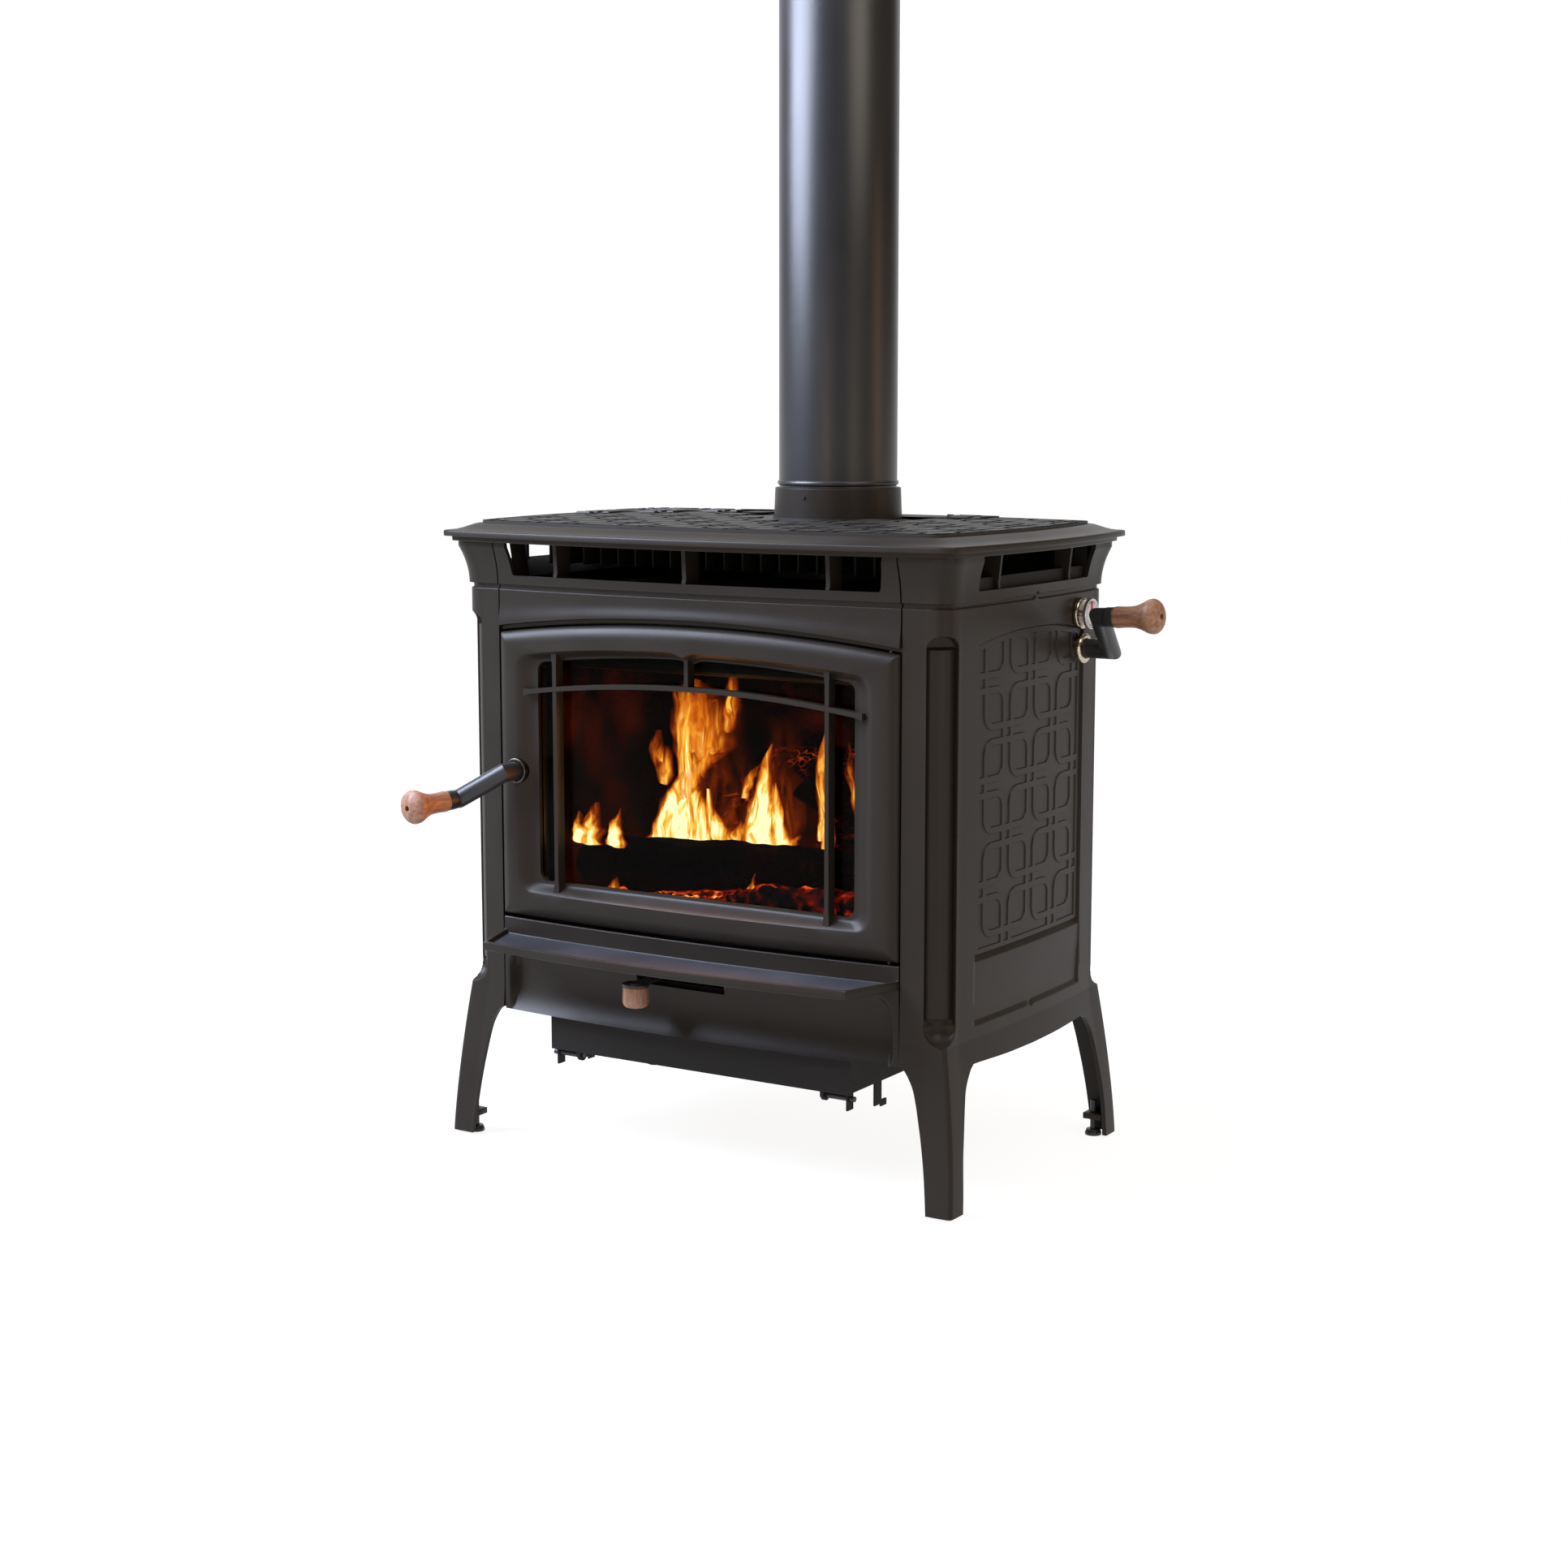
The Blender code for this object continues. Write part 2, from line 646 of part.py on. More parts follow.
def firebox():
    wall = FIREBOX_WALL
    corner = (FIREBOX_HALF, FIREBOX_REAR, FIREBOX_TOP)
    made = block("firebox_shell", (-FIREBOX_HALF, FIREBOX_FRONT, FIREBOX_BOTTOM), corner, BLACK_IRON)
    low = (wall - FIREBOX_HALF, FIREBOX_FRONT - 0.1, FIREBOX_BOTTOM + wall)
    cut_block(made, low, (FIREBOX_HALF - wall, FIREBOX_REAR - wall, FIREBOX_TOP - wall))
    cut_bore(made, (0, FLUE_Y, FIREBOX_TOP - 0.02), (0, FLUE_Y, FIREBOX_TOP + 0.02), OUTLET_R, 32)
    cut_bore(made, (0.2, BYPASS.y, BYPASS.z), (0.3, BYPASS.y, BYPASS.z), 0.0075, 16)
    return made


firebox_shell = firebox()
FRAME_EDGE = [(-0.331, 0.2345), (0.331, 0.2345), (0.331, 0.7), (-0.331, 0.7)]
FRAME_HOLE = window(0.234, 0.334, 0.648, 0.016, 0.01)
firebox_front = plate("firebox_front", [FRAME_EDGE, FRAME_HOLE], 0.005, BLACK_IRON, upright="front")
firebox_front.location.y = FRAME_FRONT + 0.0025 + GAP
cut_block(firebox_front, (-0.15, -0.2, 0.23), (0.14, -0.1, 0.2435))

inner = FIREBOX_HALF - FIREBOX_WALL - GAP
floor_z = FIREBOX_BOTTOM + FIREBOX_WALL + GAP
brick_top = 0.63
back_y = FIREBOX_REAR - FIREBOX_WALL - GAP
block("brick_floor", (-inner, FIREBOX_FRONT, floor_z), (inner, back_y, floor_z + BRICK), BRICKWORK, 0.002)
for word, side in (("left", -1), ("right", 1)):
    ends = sorted((side * inner, side * (inner - BRICK)))
    low_corner = (ends[0], FIREBOX_FRONT, floor_z + BRICK + GAP)
    block(f"brick_{word}", low_corner, (ends[1], back_y, brick_top), BRICKWORK, 0.002)
clear = inner - BRICK - GAP
rear_low = (-clear, back_y - BRICK, floor_z + BRICK + GAP)
block("brick_rear", rear_low, (clear, back_y, brick_top), BRICKWORK, 0.002)
block("smoke_baffle", (-inner, -0.14, brick_top + GAP), (inner, 0.055, brick_top + 0.014), BRICKWORK, 0.002)
for word, y in (("front", -0.12), ("middle", -0.05), ("rear", 0.02)):
    tube_ring(f"air_tube_{word}", 0.011, 0.009, (-clear, y, 0.618), (clear, y, 0.618), BLACK_STEEL, 12)
block("air_wash_deflector", (-inner, FIREBOX_FRONT, 0.657), (inner, -0.15, 0.66), BLACK_STEEL)


def log(name, start, end, radius, seed):
    """A split log: a many-sided bar whose radius changes from side to side."""
    start, end = Vector(start), Vector(end)
    axis = (end - start).normalized()
    across = axis.cross(Vector((0, 0, 1))).normalized()
    over = across.cross(axis)
    rings = []
    for t in spread(0, 1, 4):
        ring = []
        for side in range(10):
            angle = 2 * pi * side / 10
            lump = 1 + 0.12 * sin(seed + 3 * angle) + 0.05 * sin(seed * 2 + 7 * t + angle)
            ring.append(start.lerp(end, t) + (across * cos(angle) + over * sin(angle)) * radius * lump)
        rings.append(ring)
    return loft(name, rings, BARK)


ember_top = floor_z + BRICK + 0.03
block("ember_bed", (-0.2, -0.14, floor_z + BRICK + GAP), (0.2, 0.13, ember_top), EMBER, 0.008)
log("log_front", (-0.205, -0.085, 0.358), (0.21, -0.075, 0.358), 0.042, 1.0)
log("log_rear", (-0.19, 0.045, 0.356), (0.2, 0.055, 0.356), 0.04, 2.3)
log("log_top", (-0.15, -0.01, 0.422), (0.17, -0.022, 0.422), 0.034, 4.1)

bottom_plate = block("bottom_plate", (-0.3, FIREBOX_FRONT, 0.2335), (0.3, 0.2, 0.2375), BLACK_IRON)
for slot_x in (-0.09, -0.04, 0.01):
    cut_block(bottom_plate, (slot_x - 0.015, -0.165, 0.23), (slot_x + 0.015, -0.148, 0.24))


# Door: a cast frame with an integral grille, a flat glass, its retainer and a rope seal


def door_ring(half, bottom, top, drop, corner, depth):
    """A window outline at a depth, which is a number or a function of x."""
    place = depth if callable(depth) else lambda x: depth
    return [(x, place(x), z) for x, z in window(half, bottom, top, drop, corner)]


def door_face(inset, proud):
    half = DOOR_HALF - inset
    drop = DOOR_DROP * (half / DOOR_HALF) ** 2
    low, high = DOOR_BOTTOM + inset, DOOR_TOP - inset
    return door_ring(half, low, high, drop, 0.002, lambda x: -front_depth(x) - proud)


def bar_section(x, y_front, y_back, z_low, z_high):
    return [(x, y_front, z_low), (x, y_back, z_low), (x, y_back, z_high), (x, y_front, z_high)]


def grille_arch(x):
    return 0.6046 - 0.29 * x * x


def door_frame():
    rings = [door_ring(DOOR_HALF, DOOR_BOTTOM, DOOR_TOP, DOOR_DROP, 0.002, DOOR_BACK)]
    for share in (0, 0.33, 0.67, 1):
        rings.append(door_face(CHAMFER * (1 - cos(share * pi / 2)), 0.011 * sin(share * pi / 2) - 0.003))
    rings.append(door_ring(0.258, 0.3305, 0.646, 0.016, 0.02, lambda x: -front_depth(x) - 0.008))
    rings.append(door_ring(0.23, 0.3445, 0.636, 0.0147, 0.012, -0.2125))
    rings.append(door_ring(0.23, 0.3445, 0.636, 0.0147, 0.012, -0.2071))
    rings.append(door_ring(0.24, 0.335, 0.646, 0.016, 0.006, -0.2071))
    rings.append(door_ring(0.24, 0.335, 0.646, 0.016, 0.006, DOOR_BACK))
    made = loft("door_frame", rings, ENAMEL, closed=True)
    for x in (-0.1975, 0.1975):
        join_block(made, (x - 0.003, -0.222, 0.336), (x + 0.003, -0.2085, 0.63))
    join_block(made, (-0.0031, -0.2221, 0.6), (0.0029, -0.2084, 0.6385))
    sections = []
    for x in spread(-0.2455, 0.2455, 12):
        sections.append(bar_section(x, -0.2225, -0.208, grille_arch(x) - 0.006, grille_arch(x)))
    combine(made, loft("grille_arch", sections, ENAMEL, collection=CUTTERS), "UNION")
    cut_bore(made, DOOR_HANDLE + Vector((0, -0.03, 0)), DOOR_HANDLE + Vector((0, 0.0235, 0)), 0.0162)
    cut_bore(made, DOOR_HANDLE, DOOR_HANDLE + Vector((0, 0.07, 0)), 0.0072, 16)
    return made


door_hinge = pivot("door_hinge", (HINGE_X, HINGE_Y, 0.48))
door = door_frame()
hinge_low = Vector((HINGE_X, HINGE_Y, 0.287))
hinge_high = Vector((HINGE_X, HINGE_Y, 0.652))
for base, casting in ((hinge_low, ash_lip), (hinge_high, upper_front_panel)):
    for piece in (door, casting):
        cut_bore(piece, base - Vector((0, 0, 0.001)), base + Vector((0, 0, 0.0235)), HINGE_PIN_R + 0.0005, 12)
rod("hinge_pin_lower", hinge_low, hinge_low + Vector((0, 0, 0.0165)), HINGE_PIN_R, BLACK_STEEL, 12)
rod("hinge_pin_upper", hinge_high, hinge_high + Vector((0, 0, 0.0225)), HINGE_PIN_R, BLACK_STEEL, 12)

glass_edge = window(0.2395, 0.3355, 0.6455, 0.016, 0.006)
door_glass = plate("door_glass", [glass_edge], GLASS_THICK, GLASS, upright="front")
door_glass.location.y = GLASS_FRONT + GLASS_THICK / 2
retainer_y = GLASS_FRONT + GLASS_THICK + GAP
retainer_edge = window(0.232, 0.343, 0.638, 0.015, 0.01)
glass_retainer = plate("glass_retainer", [glass_edge, retainer_edge], 0.003, BLACK_STEEL, upright="front")
glass_retainer.location.y = retainer_y + 0.0015


def seal():
    curve = bpy.data.curves.new("door_gasket", "CURVE")
    curve.dimensions = "3D"
    curve.bevel_depth = 0.0045
    curve.bevel_resolution = 1
    spline = curve.splines.new("POLY")
    line = window(0.2458, 0.3285, 0.6525, 0.0165, 0.012, 2)
    spline.points.add(len(line) - 1)
    for point, (x, z) in zip(spline.points, line):
        point.co = (x, DOOR_BACK + 0.0049, z, 1)
    spline.use_cyclic_u = True
    return add("door_gasket", curve, ROPE)


door_gasket = seal()


# Cranked handles: a stub out of a bush, an arm, a black ferrule and a walnut grip

GRIP = [(0, 0.0637), (0.0075, 0.063), (0.0135, 0.0611), (0.018, 0.0583), (0.0205, 0.0553), (0.0213, 0.0522)]
GRIP += [(0.0205, 0.047), (0.018, 0.0415), (0.0155, 0.035), (0.0136, 0.0285), (0.0129, 0.021), (0.0128, 0.012)]
GRIP += [(0.0132, 0.0035), (0.0124, 0), (0, 0)]
GRIP_BORE_R = 0.0036
TUBE_END = 0.0105
FERRULE = 0.012


def crank(name, hub, elbow, corner, out, inner_length):
    """The bar from inside the stove: thicker from its bush on, with a stub, an arm and a short end."""
    axis = (elbow - hub).normalized()
    line = fillet([hub - axis * 0.001, elbow, corner, corner + out * TUBE_END], 0.006, 2)
    inside = [hub - axis * inner_length, hub - axis * 0.0012]
    return bent_tube(name, inside + line, [0.0062, 0.0062] + [CRANK_R] * len(line), BLACK_STEEL)


def ferrule(name, corner, out):
    start = corner + out * (TUBE_END + GAP)
    return rod(name, start, start + out * (FERRULE - GAP), 0.0124, BLACK_STEEL, 20)


def grip(name, corner, out):
    start = corner + out * (TUBE_END + FERRULE + GAP)
    made = turned(name, GRIP, start, out, WALNUT, 20)
    tip = start + out * GRIP[0][1]
    cut_bore(made, tip - out * 0.012, tip + out * 0.01, GRIP_BORE_R, 10)
    return made


OUTWARD = Vector((0, -1, 0))
HANDLE_ELBOW = DOOR_HANDLE + OUTWARD * 0.0245
HANDLE_CORNER = Vector((-0.3222, -0.2585, 0.4475))
HANDLE_OUT = Vector((-0.165, -1, -0.03)).normalized()
handle_crank = crank("handle_crank", DOOR_HANDLE, HANDLE_ELBOW, HANDLE_CORNER, HANDLE_OUT, 0.0455)
handle_ferrule = ferrule("handle_ferrule", HANDLE_CORNER, HANDLE_OUT)
handle_grip = grip("handle_grip", HANDLE_CORNER, HANDLE_OUT)
BUSH = [(0.0152, 0.0228), (0.0158, 0.0215), (0.0158, 0), (0.0068, 0), (0.0068, 0.019), (0.0125, 0.0192)]
BUSH.append((0.0125, 0.0228))
handle_bush = turned("handle_bush", BUSH, DOOR_HANDLE - OUTWARD * 0.022, OUTWARD, NICKEL, 24, hollow=True)
hub_x, hub_z = DOOR_HANDLE.x, DOOR_HANDLE.z
cam_edge = arc(hub_x, hub_z, 0.0085, 0.6 - pi, pi - 0.6, 14)
cam_edge += [(hub_x - 0.022, hub_z + 0.004), (hub_x - 0.022, hub_z - 0.0045)]
cam_hole = arc(hub_x, hub_z, 0.0065, 0, 2 * pi, 16)[:-1]
latch_cam = plate("latch_cam", [cam_edge, cam_hole], 0.004, BLACK_STEEL, upright="front")
latch_cam.location.y = DOOR_BACK + 0.0055
KEEPER_TOP = DOOR_HANDLE.z - 0.009
keeper_low = (-0.2865, FRAME_FRONT - 0.0095, KEEPER_TOP - 0.02)
latch_keeper = block("latch_keeper", keeper_low, (-0.27, FRAME_FRONT, KEEPER_TOP), BLACK_STEEL, 0.001)
hang(door_hinge, door, door_glass, glass_retainer, door_gasket, handle_bush)
handle_pivot = pivot("handle_pivot", DOOR_HANDLE)
hang(handle_pivot, handle_crank, handle_ferrule, handle_grip, latch_cam)

SIDEWAYS = Vector((1, 0, 0))
BYPASS_ELBOW = BYPASS + SIDEWAYS * 0.04
BYPASS_CORNER = Vector((0.4062, 0.0715, 0.6854))
BYPASS_OUT = Vector((1, -0.11, 0.07)).normalized()
bypass_crank = crank("bypass_crank", BYPASS, BYPASS_ELBOW, BYPASS_CORNER, BYPASS_OUT, 0.5865)
bypass_ferrule = ferrule("bypass_ferrule", BYPASS_CORNER, BYPASS_OUT)
bypass_grip = grip("bypass_grip", BYPASS_CORNER, BYPASS_OUT)
flap_low = (-0.228, 0.058, BYPASS.z - 0.002)
bypass_flap = block("bypass_flap", flap_low, (0.228, 0.171, BYPASS.z + 0.002), BLACK_IRON)
flap_ends = [Vector((end, BYPASS.y, BYPASS.z)) for end in (-0.228, 0.228)]
combine(bypass_flap, rod("flap_sleeve", *flap_ends, 0.0095, BLACK_IRON, 16, CUTTERS), "UNION")
cut_bore(bypass_flap, flap_ends[0] - SIDEWAYS * 0.01, flap_ends[1] + SIDEWAYS * 0.01, 0.0068, 16)
SPIGOT = [(0.0162, 0.0075), (0.0188, 0.006), (0.0188, 0), (0.0145, -0.0003), (0.0145, -0.012)]
SPIGOT += [(0.0125, -0.012), (0.0125, 0.0075)]
bypass_bush = turned("bypass_bush", SPIGOT, BYPASS, SIDEWAYS, NICKEL, 24, hollow=True)
bypass_pivot = pivot("bypass_pivot", BYPASS)
hang(bypass_pivot, bypass_crank, bypass_ferrule, bypass_grip, bypass_flap)


# Thermometer: a bush, a dial on a stem, and a pointer

GAUGE_BUSH = [(0.0165, 0.0065), (0.0195, 0.005), (0.0195, 0), (0.0145, -0.0003), (0.0145, -0.012)]
GAUGE_BUSH += [(0.0045, -0.012), (0.0045, 0.0065)]
turned("gauge_bush", GAUGE_BUSH, GAUGE, SIDEWAYS, NICKEL, 24, hollow=True)
GAUGE_DIAL = [(0, 0.017), (0.0175, 0.017), (0.0175, 0.0175), (0.0192, 0.0175), (0.0192, 0.0135), (0.004, 0.013)]
GAUGE_DIAL += [(0.004, -0.05), (0, -0.05)]
turned("gauge_dial", GAUGE_DIAL, GAUGE, SIDEWAYS, DIAL)
pointer_x = GAUGE.x + 0.017 + GAP
needle_outline = [(-0.0022, -0.003), (0.0022, -0.003), (0.0012, 0.0155), (-0.0012, 0.0155)]
gauge_needle = plate("gauge_needle", [needle_outline], 0.0006, RED, upright="side")
gauge_needle.location = (pointer_x + 0.0003, GAUGE.y, GAUGE.z)
hang(pivot("gauge_pivot", GAUGE), gauge_needle)


# Air control: a strap with an eye, a walnut knob under the eye, and the shutter that it slides


def lever_outline():
    centre_x, centre_y = KNOB.x, KNOB.y
    eye = arc(centre_x, centre_y, 0.0165, pi - 0.9, 2 * pi + 0.9, 14)
    return eye + [(centre_x + 0.008, -0.1852), (centre_x - 0.008, -0.1852)]


air_lever = plate("air_lever", [lever_outline()], 0.003, BLACK_STEEL)
air_lever.location.z = KNOB.z + 0.0015
KNOB_PROFILE = [(0, 0), (0.0155, 0), (0.0163, -0.002), (0.0161, -0.019), (0.0145, -0.025)]
KNOB_PROFILE += [(0.011, -0.0262), (0, -0.0262)]
air_knob = turned("air_knob", KNOB_PROFILE, KNOB - Vector((0, 0, GAP)), (0, 0, 1), WALNUT, 20)
air_shutter = block("air_shutter", (-0.115, -0.1848, KNOB.z), (0.035, -0.143, KNOB.z + 0.003), BLACK_STEEL)
hang(pivot("air_slide", KNOB), air_lever, air_knob, air_shutter)


# Ash box: a housing with brackets, a pan, and a drop-down door on two pins


def ash_housing():
    side, low, high = ASH_HALF - 0.0012, ASH_BOTTOM, 0.233
    front = -0.196
    made = block("ash_housing", (-side, front, low), (side, 0.12, high), BLACK_IRON)
    cut_block(made, (0.0025 - side, -0.3, low + 0.0025), (side - 0.0025, 0.1175, 0.17))
    cut_block(made, (0.0025 - side, front + 0.0025, 0.16), (side - 0.0025, 0.1175, high + 0.01))
    for end in (-1, 1):
        tab = sorted((end * 0.213, end * 0.2155))
        join_block(made, (tab[0], -0.2015, 0.1062), (tab[1], -0.188, low + 0.0015))
        hook = sorted((end * (side - 0.0025), end * side))
        join_block(made, (hook[0], -0.2022, low), (hook[1], front + 0.002, 0.169))
        join_block(made, (hook[0], -0.145, 0.1), (hook[1], -0.129, low + 0.003))
        join_block(made, (hook[0], -0.13, 0.0965), (hook[1], -0.117, 0.1045))
        pin_line = [(end * x, ASH_PIVOT_Y, ASH_PIVOT_Z) for x in (0.206, 0.219)]
        cut_bore(made, *pin_line, 0.004, 12)
    return made


ash_housing()
ash_pan = block("ash_pan", (-0.2, -0.192, ASH_BOTTOM + 0.0035), (0.2, 0.1, 0.166), BLACK_STEEL)
cut_block(ash_pan, (-0.1985, -0.1905, ASH_BOTTOM + 0.005), (0.1985, 0.0985, 0.19))
ash_door = block("ash_door", (-ASH_HALF, -0.2052, 0.1262), (ASH_HALF, -0.2027, 0.17), BLACK_IRON)
for end in (-1, 1):
    knuckle = sorted((end * 0.178, end * 0.1835))
    centre = Vector((knuckle[0], ASH_PIVOT_Y, ASH_PIVOT_Z))
    barrel = rod("knuckle", centre, centre + Vector((0.0055, 0, 0)), 0.0065, BLACK_IRON, 16, CUTTERS)
    combine(ash_door, barrel, "UNION")
    join_block(ash_door, (knuckle[0] + 0.0003, -0.2045, 0.1195), (knuckle[1] - 0.0003, -0.1985, 0.1278))
    pin_start = Vector((end * 0.1765, ASH_PIVOT_Y, ASH_PIVOT_Z))
    pin_end = Vector((end * 0.2225, ASH_PIVOT_Y, ASH_PIVOT_Z))
    cut_bore(ash_door, pin_start, pin_start + Vector((end * 0.012, 0, 0)), 0.0041, 12)
    word = "right" if end > 0 else "left"
    rod(f"ash_hinge_pin_{word}", pin_start + Vector((end * 0.0005, 0, 0)), pin_end, 0.0034, BLACK_STEEL, 12)
hang(pivot("ash_pivot", (0, ASH_PIVOT_Y, ASH_PIVOT_Z)), ash_door)


# Levelling feet

FOOT = [(0, 0.046), (0.0042, 0.046), (0.0042, 0.008), (0.009, 0.0075), (0.0108, 0.003), (0.0108, 0), (0, 0)]
for word, end in (("front", -1), ("rear", 1)):
    for side_word, side in (("left", -1), ("right", 1)):
        place = Vector((side * FOOT_X, end * FOOT_Y, 0))
        turned(f"foot_{word}_{side_word}", FOOT, place, (0, 0, 1), BLACK_STEEL, 16)
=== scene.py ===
"""Looks for the wood burning stove: enamelled castings, cranked walnut handles, and the fire.

Metres, +Z up, -Y out of the door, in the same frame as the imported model.
"""

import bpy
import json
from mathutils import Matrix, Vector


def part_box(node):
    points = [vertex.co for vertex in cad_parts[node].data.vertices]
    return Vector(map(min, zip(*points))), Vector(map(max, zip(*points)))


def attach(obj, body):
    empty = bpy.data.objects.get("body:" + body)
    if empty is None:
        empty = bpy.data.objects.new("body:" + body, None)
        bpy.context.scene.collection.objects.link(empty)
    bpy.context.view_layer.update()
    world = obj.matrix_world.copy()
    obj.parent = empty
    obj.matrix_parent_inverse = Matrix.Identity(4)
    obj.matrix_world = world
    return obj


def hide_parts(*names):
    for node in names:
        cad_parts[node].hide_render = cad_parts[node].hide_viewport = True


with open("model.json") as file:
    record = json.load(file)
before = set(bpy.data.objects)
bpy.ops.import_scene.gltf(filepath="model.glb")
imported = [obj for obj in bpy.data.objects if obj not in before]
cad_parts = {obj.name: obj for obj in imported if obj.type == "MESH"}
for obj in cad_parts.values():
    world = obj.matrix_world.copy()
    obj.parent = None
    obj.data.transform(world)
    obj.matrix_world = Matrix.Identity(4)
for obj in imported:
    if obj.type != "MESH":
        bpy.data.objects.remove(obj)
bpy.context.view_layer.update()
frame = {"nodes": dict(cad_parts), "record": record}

import json
from math import cos, exp, hypot, pi, radians, sin, sqrt, tau

import bmesh
import bpy
from mathutils import Matrix, Vector, noise

# Driving dimensions, which repeat those of the CAD model

FRONT_REACH = 0.226
FRONT_CURVE = 0.1755
SIDE_REACH = 0.356
SIDE_CURVE = 0.2
SEAM_X = 0.2915
PANEL_HALF = 0.2895
WALL = 0.006
LEG_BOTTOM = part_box("right_side_casting")[0].z
LEG_TOP = 0.2
LEG_SPLAY_X = 0.0199
LEG_SPLAY_Y = 0.0187
BODY_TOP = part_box("right_side_casting")[1].z
GROOVE_Z = 0.7115
COVE_Z = 0.7165
LIP_Z = 0.762
GRILLE_Z = 0.7285
CORNER_X = 0.3195
CORNER_Y = 0.1775
ARCH_Z = 0.6853
ARCH_DROP = 0.0199
PLATE_X = 0.366
PLATE_Y = 0.229
PLATE_BOW_FRONT = 0.0315
PLATE_BOW_SIDE = 0.021
PLATE_BOTTOM, PLATE_TOP = (corner.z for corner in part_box("top_plate"))
FLUE = Vector((0, 0.133, 0))
FLUE_HOLE_R = 0.0845
PIPE_R = 0.0768
DOOR_HALF = 0.2888
DOOR_BOTTOM = 0.297
DOOR_TOP = 0.6763
DOOR_DROP = 0.0192
DOOR_BACK = -0.186
DOOR_HANDLE = Vector((-0.2593, -0.2235, 0.4836))
BYPASS = Vector((0.3542, 0.1285, 0.6413))
GAUGE = Vector((0.3542, 0.1225, 0.685))
KNOB = Vector((-0.0495, -0.262, 0.2395))
UP = Vector((0, 0, 1))
SIDEWAYS = Vector((1, 0, 0))
OUTWARD = Vector((0, -1, 0))


# Small helpers


def spread(low, high, count):
    """Count + 1 even steps from low to high."""
    return [low + (high - low) * i / count for i in range(count + 1)]


def smooth(low, high, value):
    """A soft step from 0 at low to 1 at high."""
    share = max(0.0, min(1.0, (value - low) / (high - low)))
    return share * share * (3 - 2 * share)


def arc(centre_a, centre_b, radius, start, end, steps):
    return [(centre_a + radius * cos(t), centre_b + radius * sin(t)) for t in spread(start, end, steps)]


def curve_through(points, steps):
    """A smooth line through the points, as a Catmull-Rom spline."""
    points = [Vector(point) for point in points]
    ends = [2 * points[0] - points[1]] + points + [2 * points[-1] - points[-2]]
    line = []
    for a, b, c, d in zip(ends, ends[1:], ends[2:], ends[3:]):
        for t in spread(0, 1, steps)[:-1]:
            square, cube = (2 * a - 5 * b + 4 * c - d) * t * t, (3 * b - a - 3 * c + d) * t**3
            line.append(0.5 * (2 * b + (c - a) * t + square + cube))
    return line + [points[-1]]


def piece(name, shape, materials, body, replaces=(), crease=38):
    """Turns a bmesh into a piece, shaded smooth but for edges sharper than the crease angle."""
    mesh = bpy.data.meshes.new(name)
    bmesh.ops.recalc_face_normals(shape, faces=shape.faces)
    shape.to_mesh(mesh)
    shape.free()
    obj = bpy.data.objects.new(name, mesh)
    bpy.context.scene.collection.objects.link(obj)
    for material in materials:
        mesh.materials.append(material)
    shade(mesh, crease)
    if body:
        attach(obj, body)
    if replaces:
        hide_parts(*replaces)
    return obj


def shade(mesh, crease):
    for polygon in mesh.polygons:
        polygon.use_smooth = True
    mesh.set_sharp_from_angle(angle=radians(crease))


def sheet_of(shape, rows, closed=False):
    """Joins rows of points, each to the next, into faces, and returns their vertices."""
    made = [[shape.verts.new(point) for point in row] for row in rows]
    for low, high in zip(made, made[1:]):
        for i in range(len(low) - (0 if closed else 1)):
            j = (i + 1) % len(low)
            shape.faces.new((low[i], low[j], high[j], high[i]))
    return made


def bar_into(shape, rows):
    """Adds a bar with capped ends, from sections with the same number of points."""
    made = sheet_of(shape, rows, closed=True)
    shape.faces.new(made[0])
    shape.faces.new(made[-1])


def stretch_into(shape, outline, low, high, across):
    """Adds a bar from an outline, given as its two other coordinates, from low to high along x or y."""
    if across == "x":
        bar_into(shape, [[(at, a, b) for a, b in outline] for at in (low, high)])
    else:
        bar_into(shape, [[(a, at, b) for a, b in outline] for at in (low, high)])


def between(start, tip, end, t):
    """A point on the soft corner from start to end whose sides meet at tip."""
    return start * (1 - t) ** 2 + tip * 2 * t * (1 - t) + end * t * t


def ring_of(rows):
    """The border of a grid of rows, in order."""
    return rows[0] + [row[-1] for row in rows[1:-1]] + rows[-1][::-1] + [row[0] for row in rows[-2:0:-1]]


def join_rings(shape, one, other):
    """Faces between two rings of the same number of vertices."""
    for i in range(len(one)):
        j = (i + 1) % len(one)
        shape.faces.new((one[i], one[j], other[j], other[i]))


def formed_wall(across, up, outer, inner):
    """A curved cast wall between outer(a, b) and inner(a, b), for a in across and b in up."""
    shape = bmesh.new()
    sheets = [sheet_of(shape, [[face(a, b) for a in across] for b in up]) for face in (outer, inner)]
    join_rings(shape, ring_of(sheets[0]), ring_of(sheets[1]))
    return shape


def loft(rings, closed=False):
    """Rings of the same number of points, joined in turn, with capped ends or closed on each other."""
    shape = bmesh.new()
    if not closed:
        bar_into(shape, rings)
        return shape
    made = sheet_of(shape, rings, closed=True)
    join_rings(shape, made[-1], made[0])
    return shape


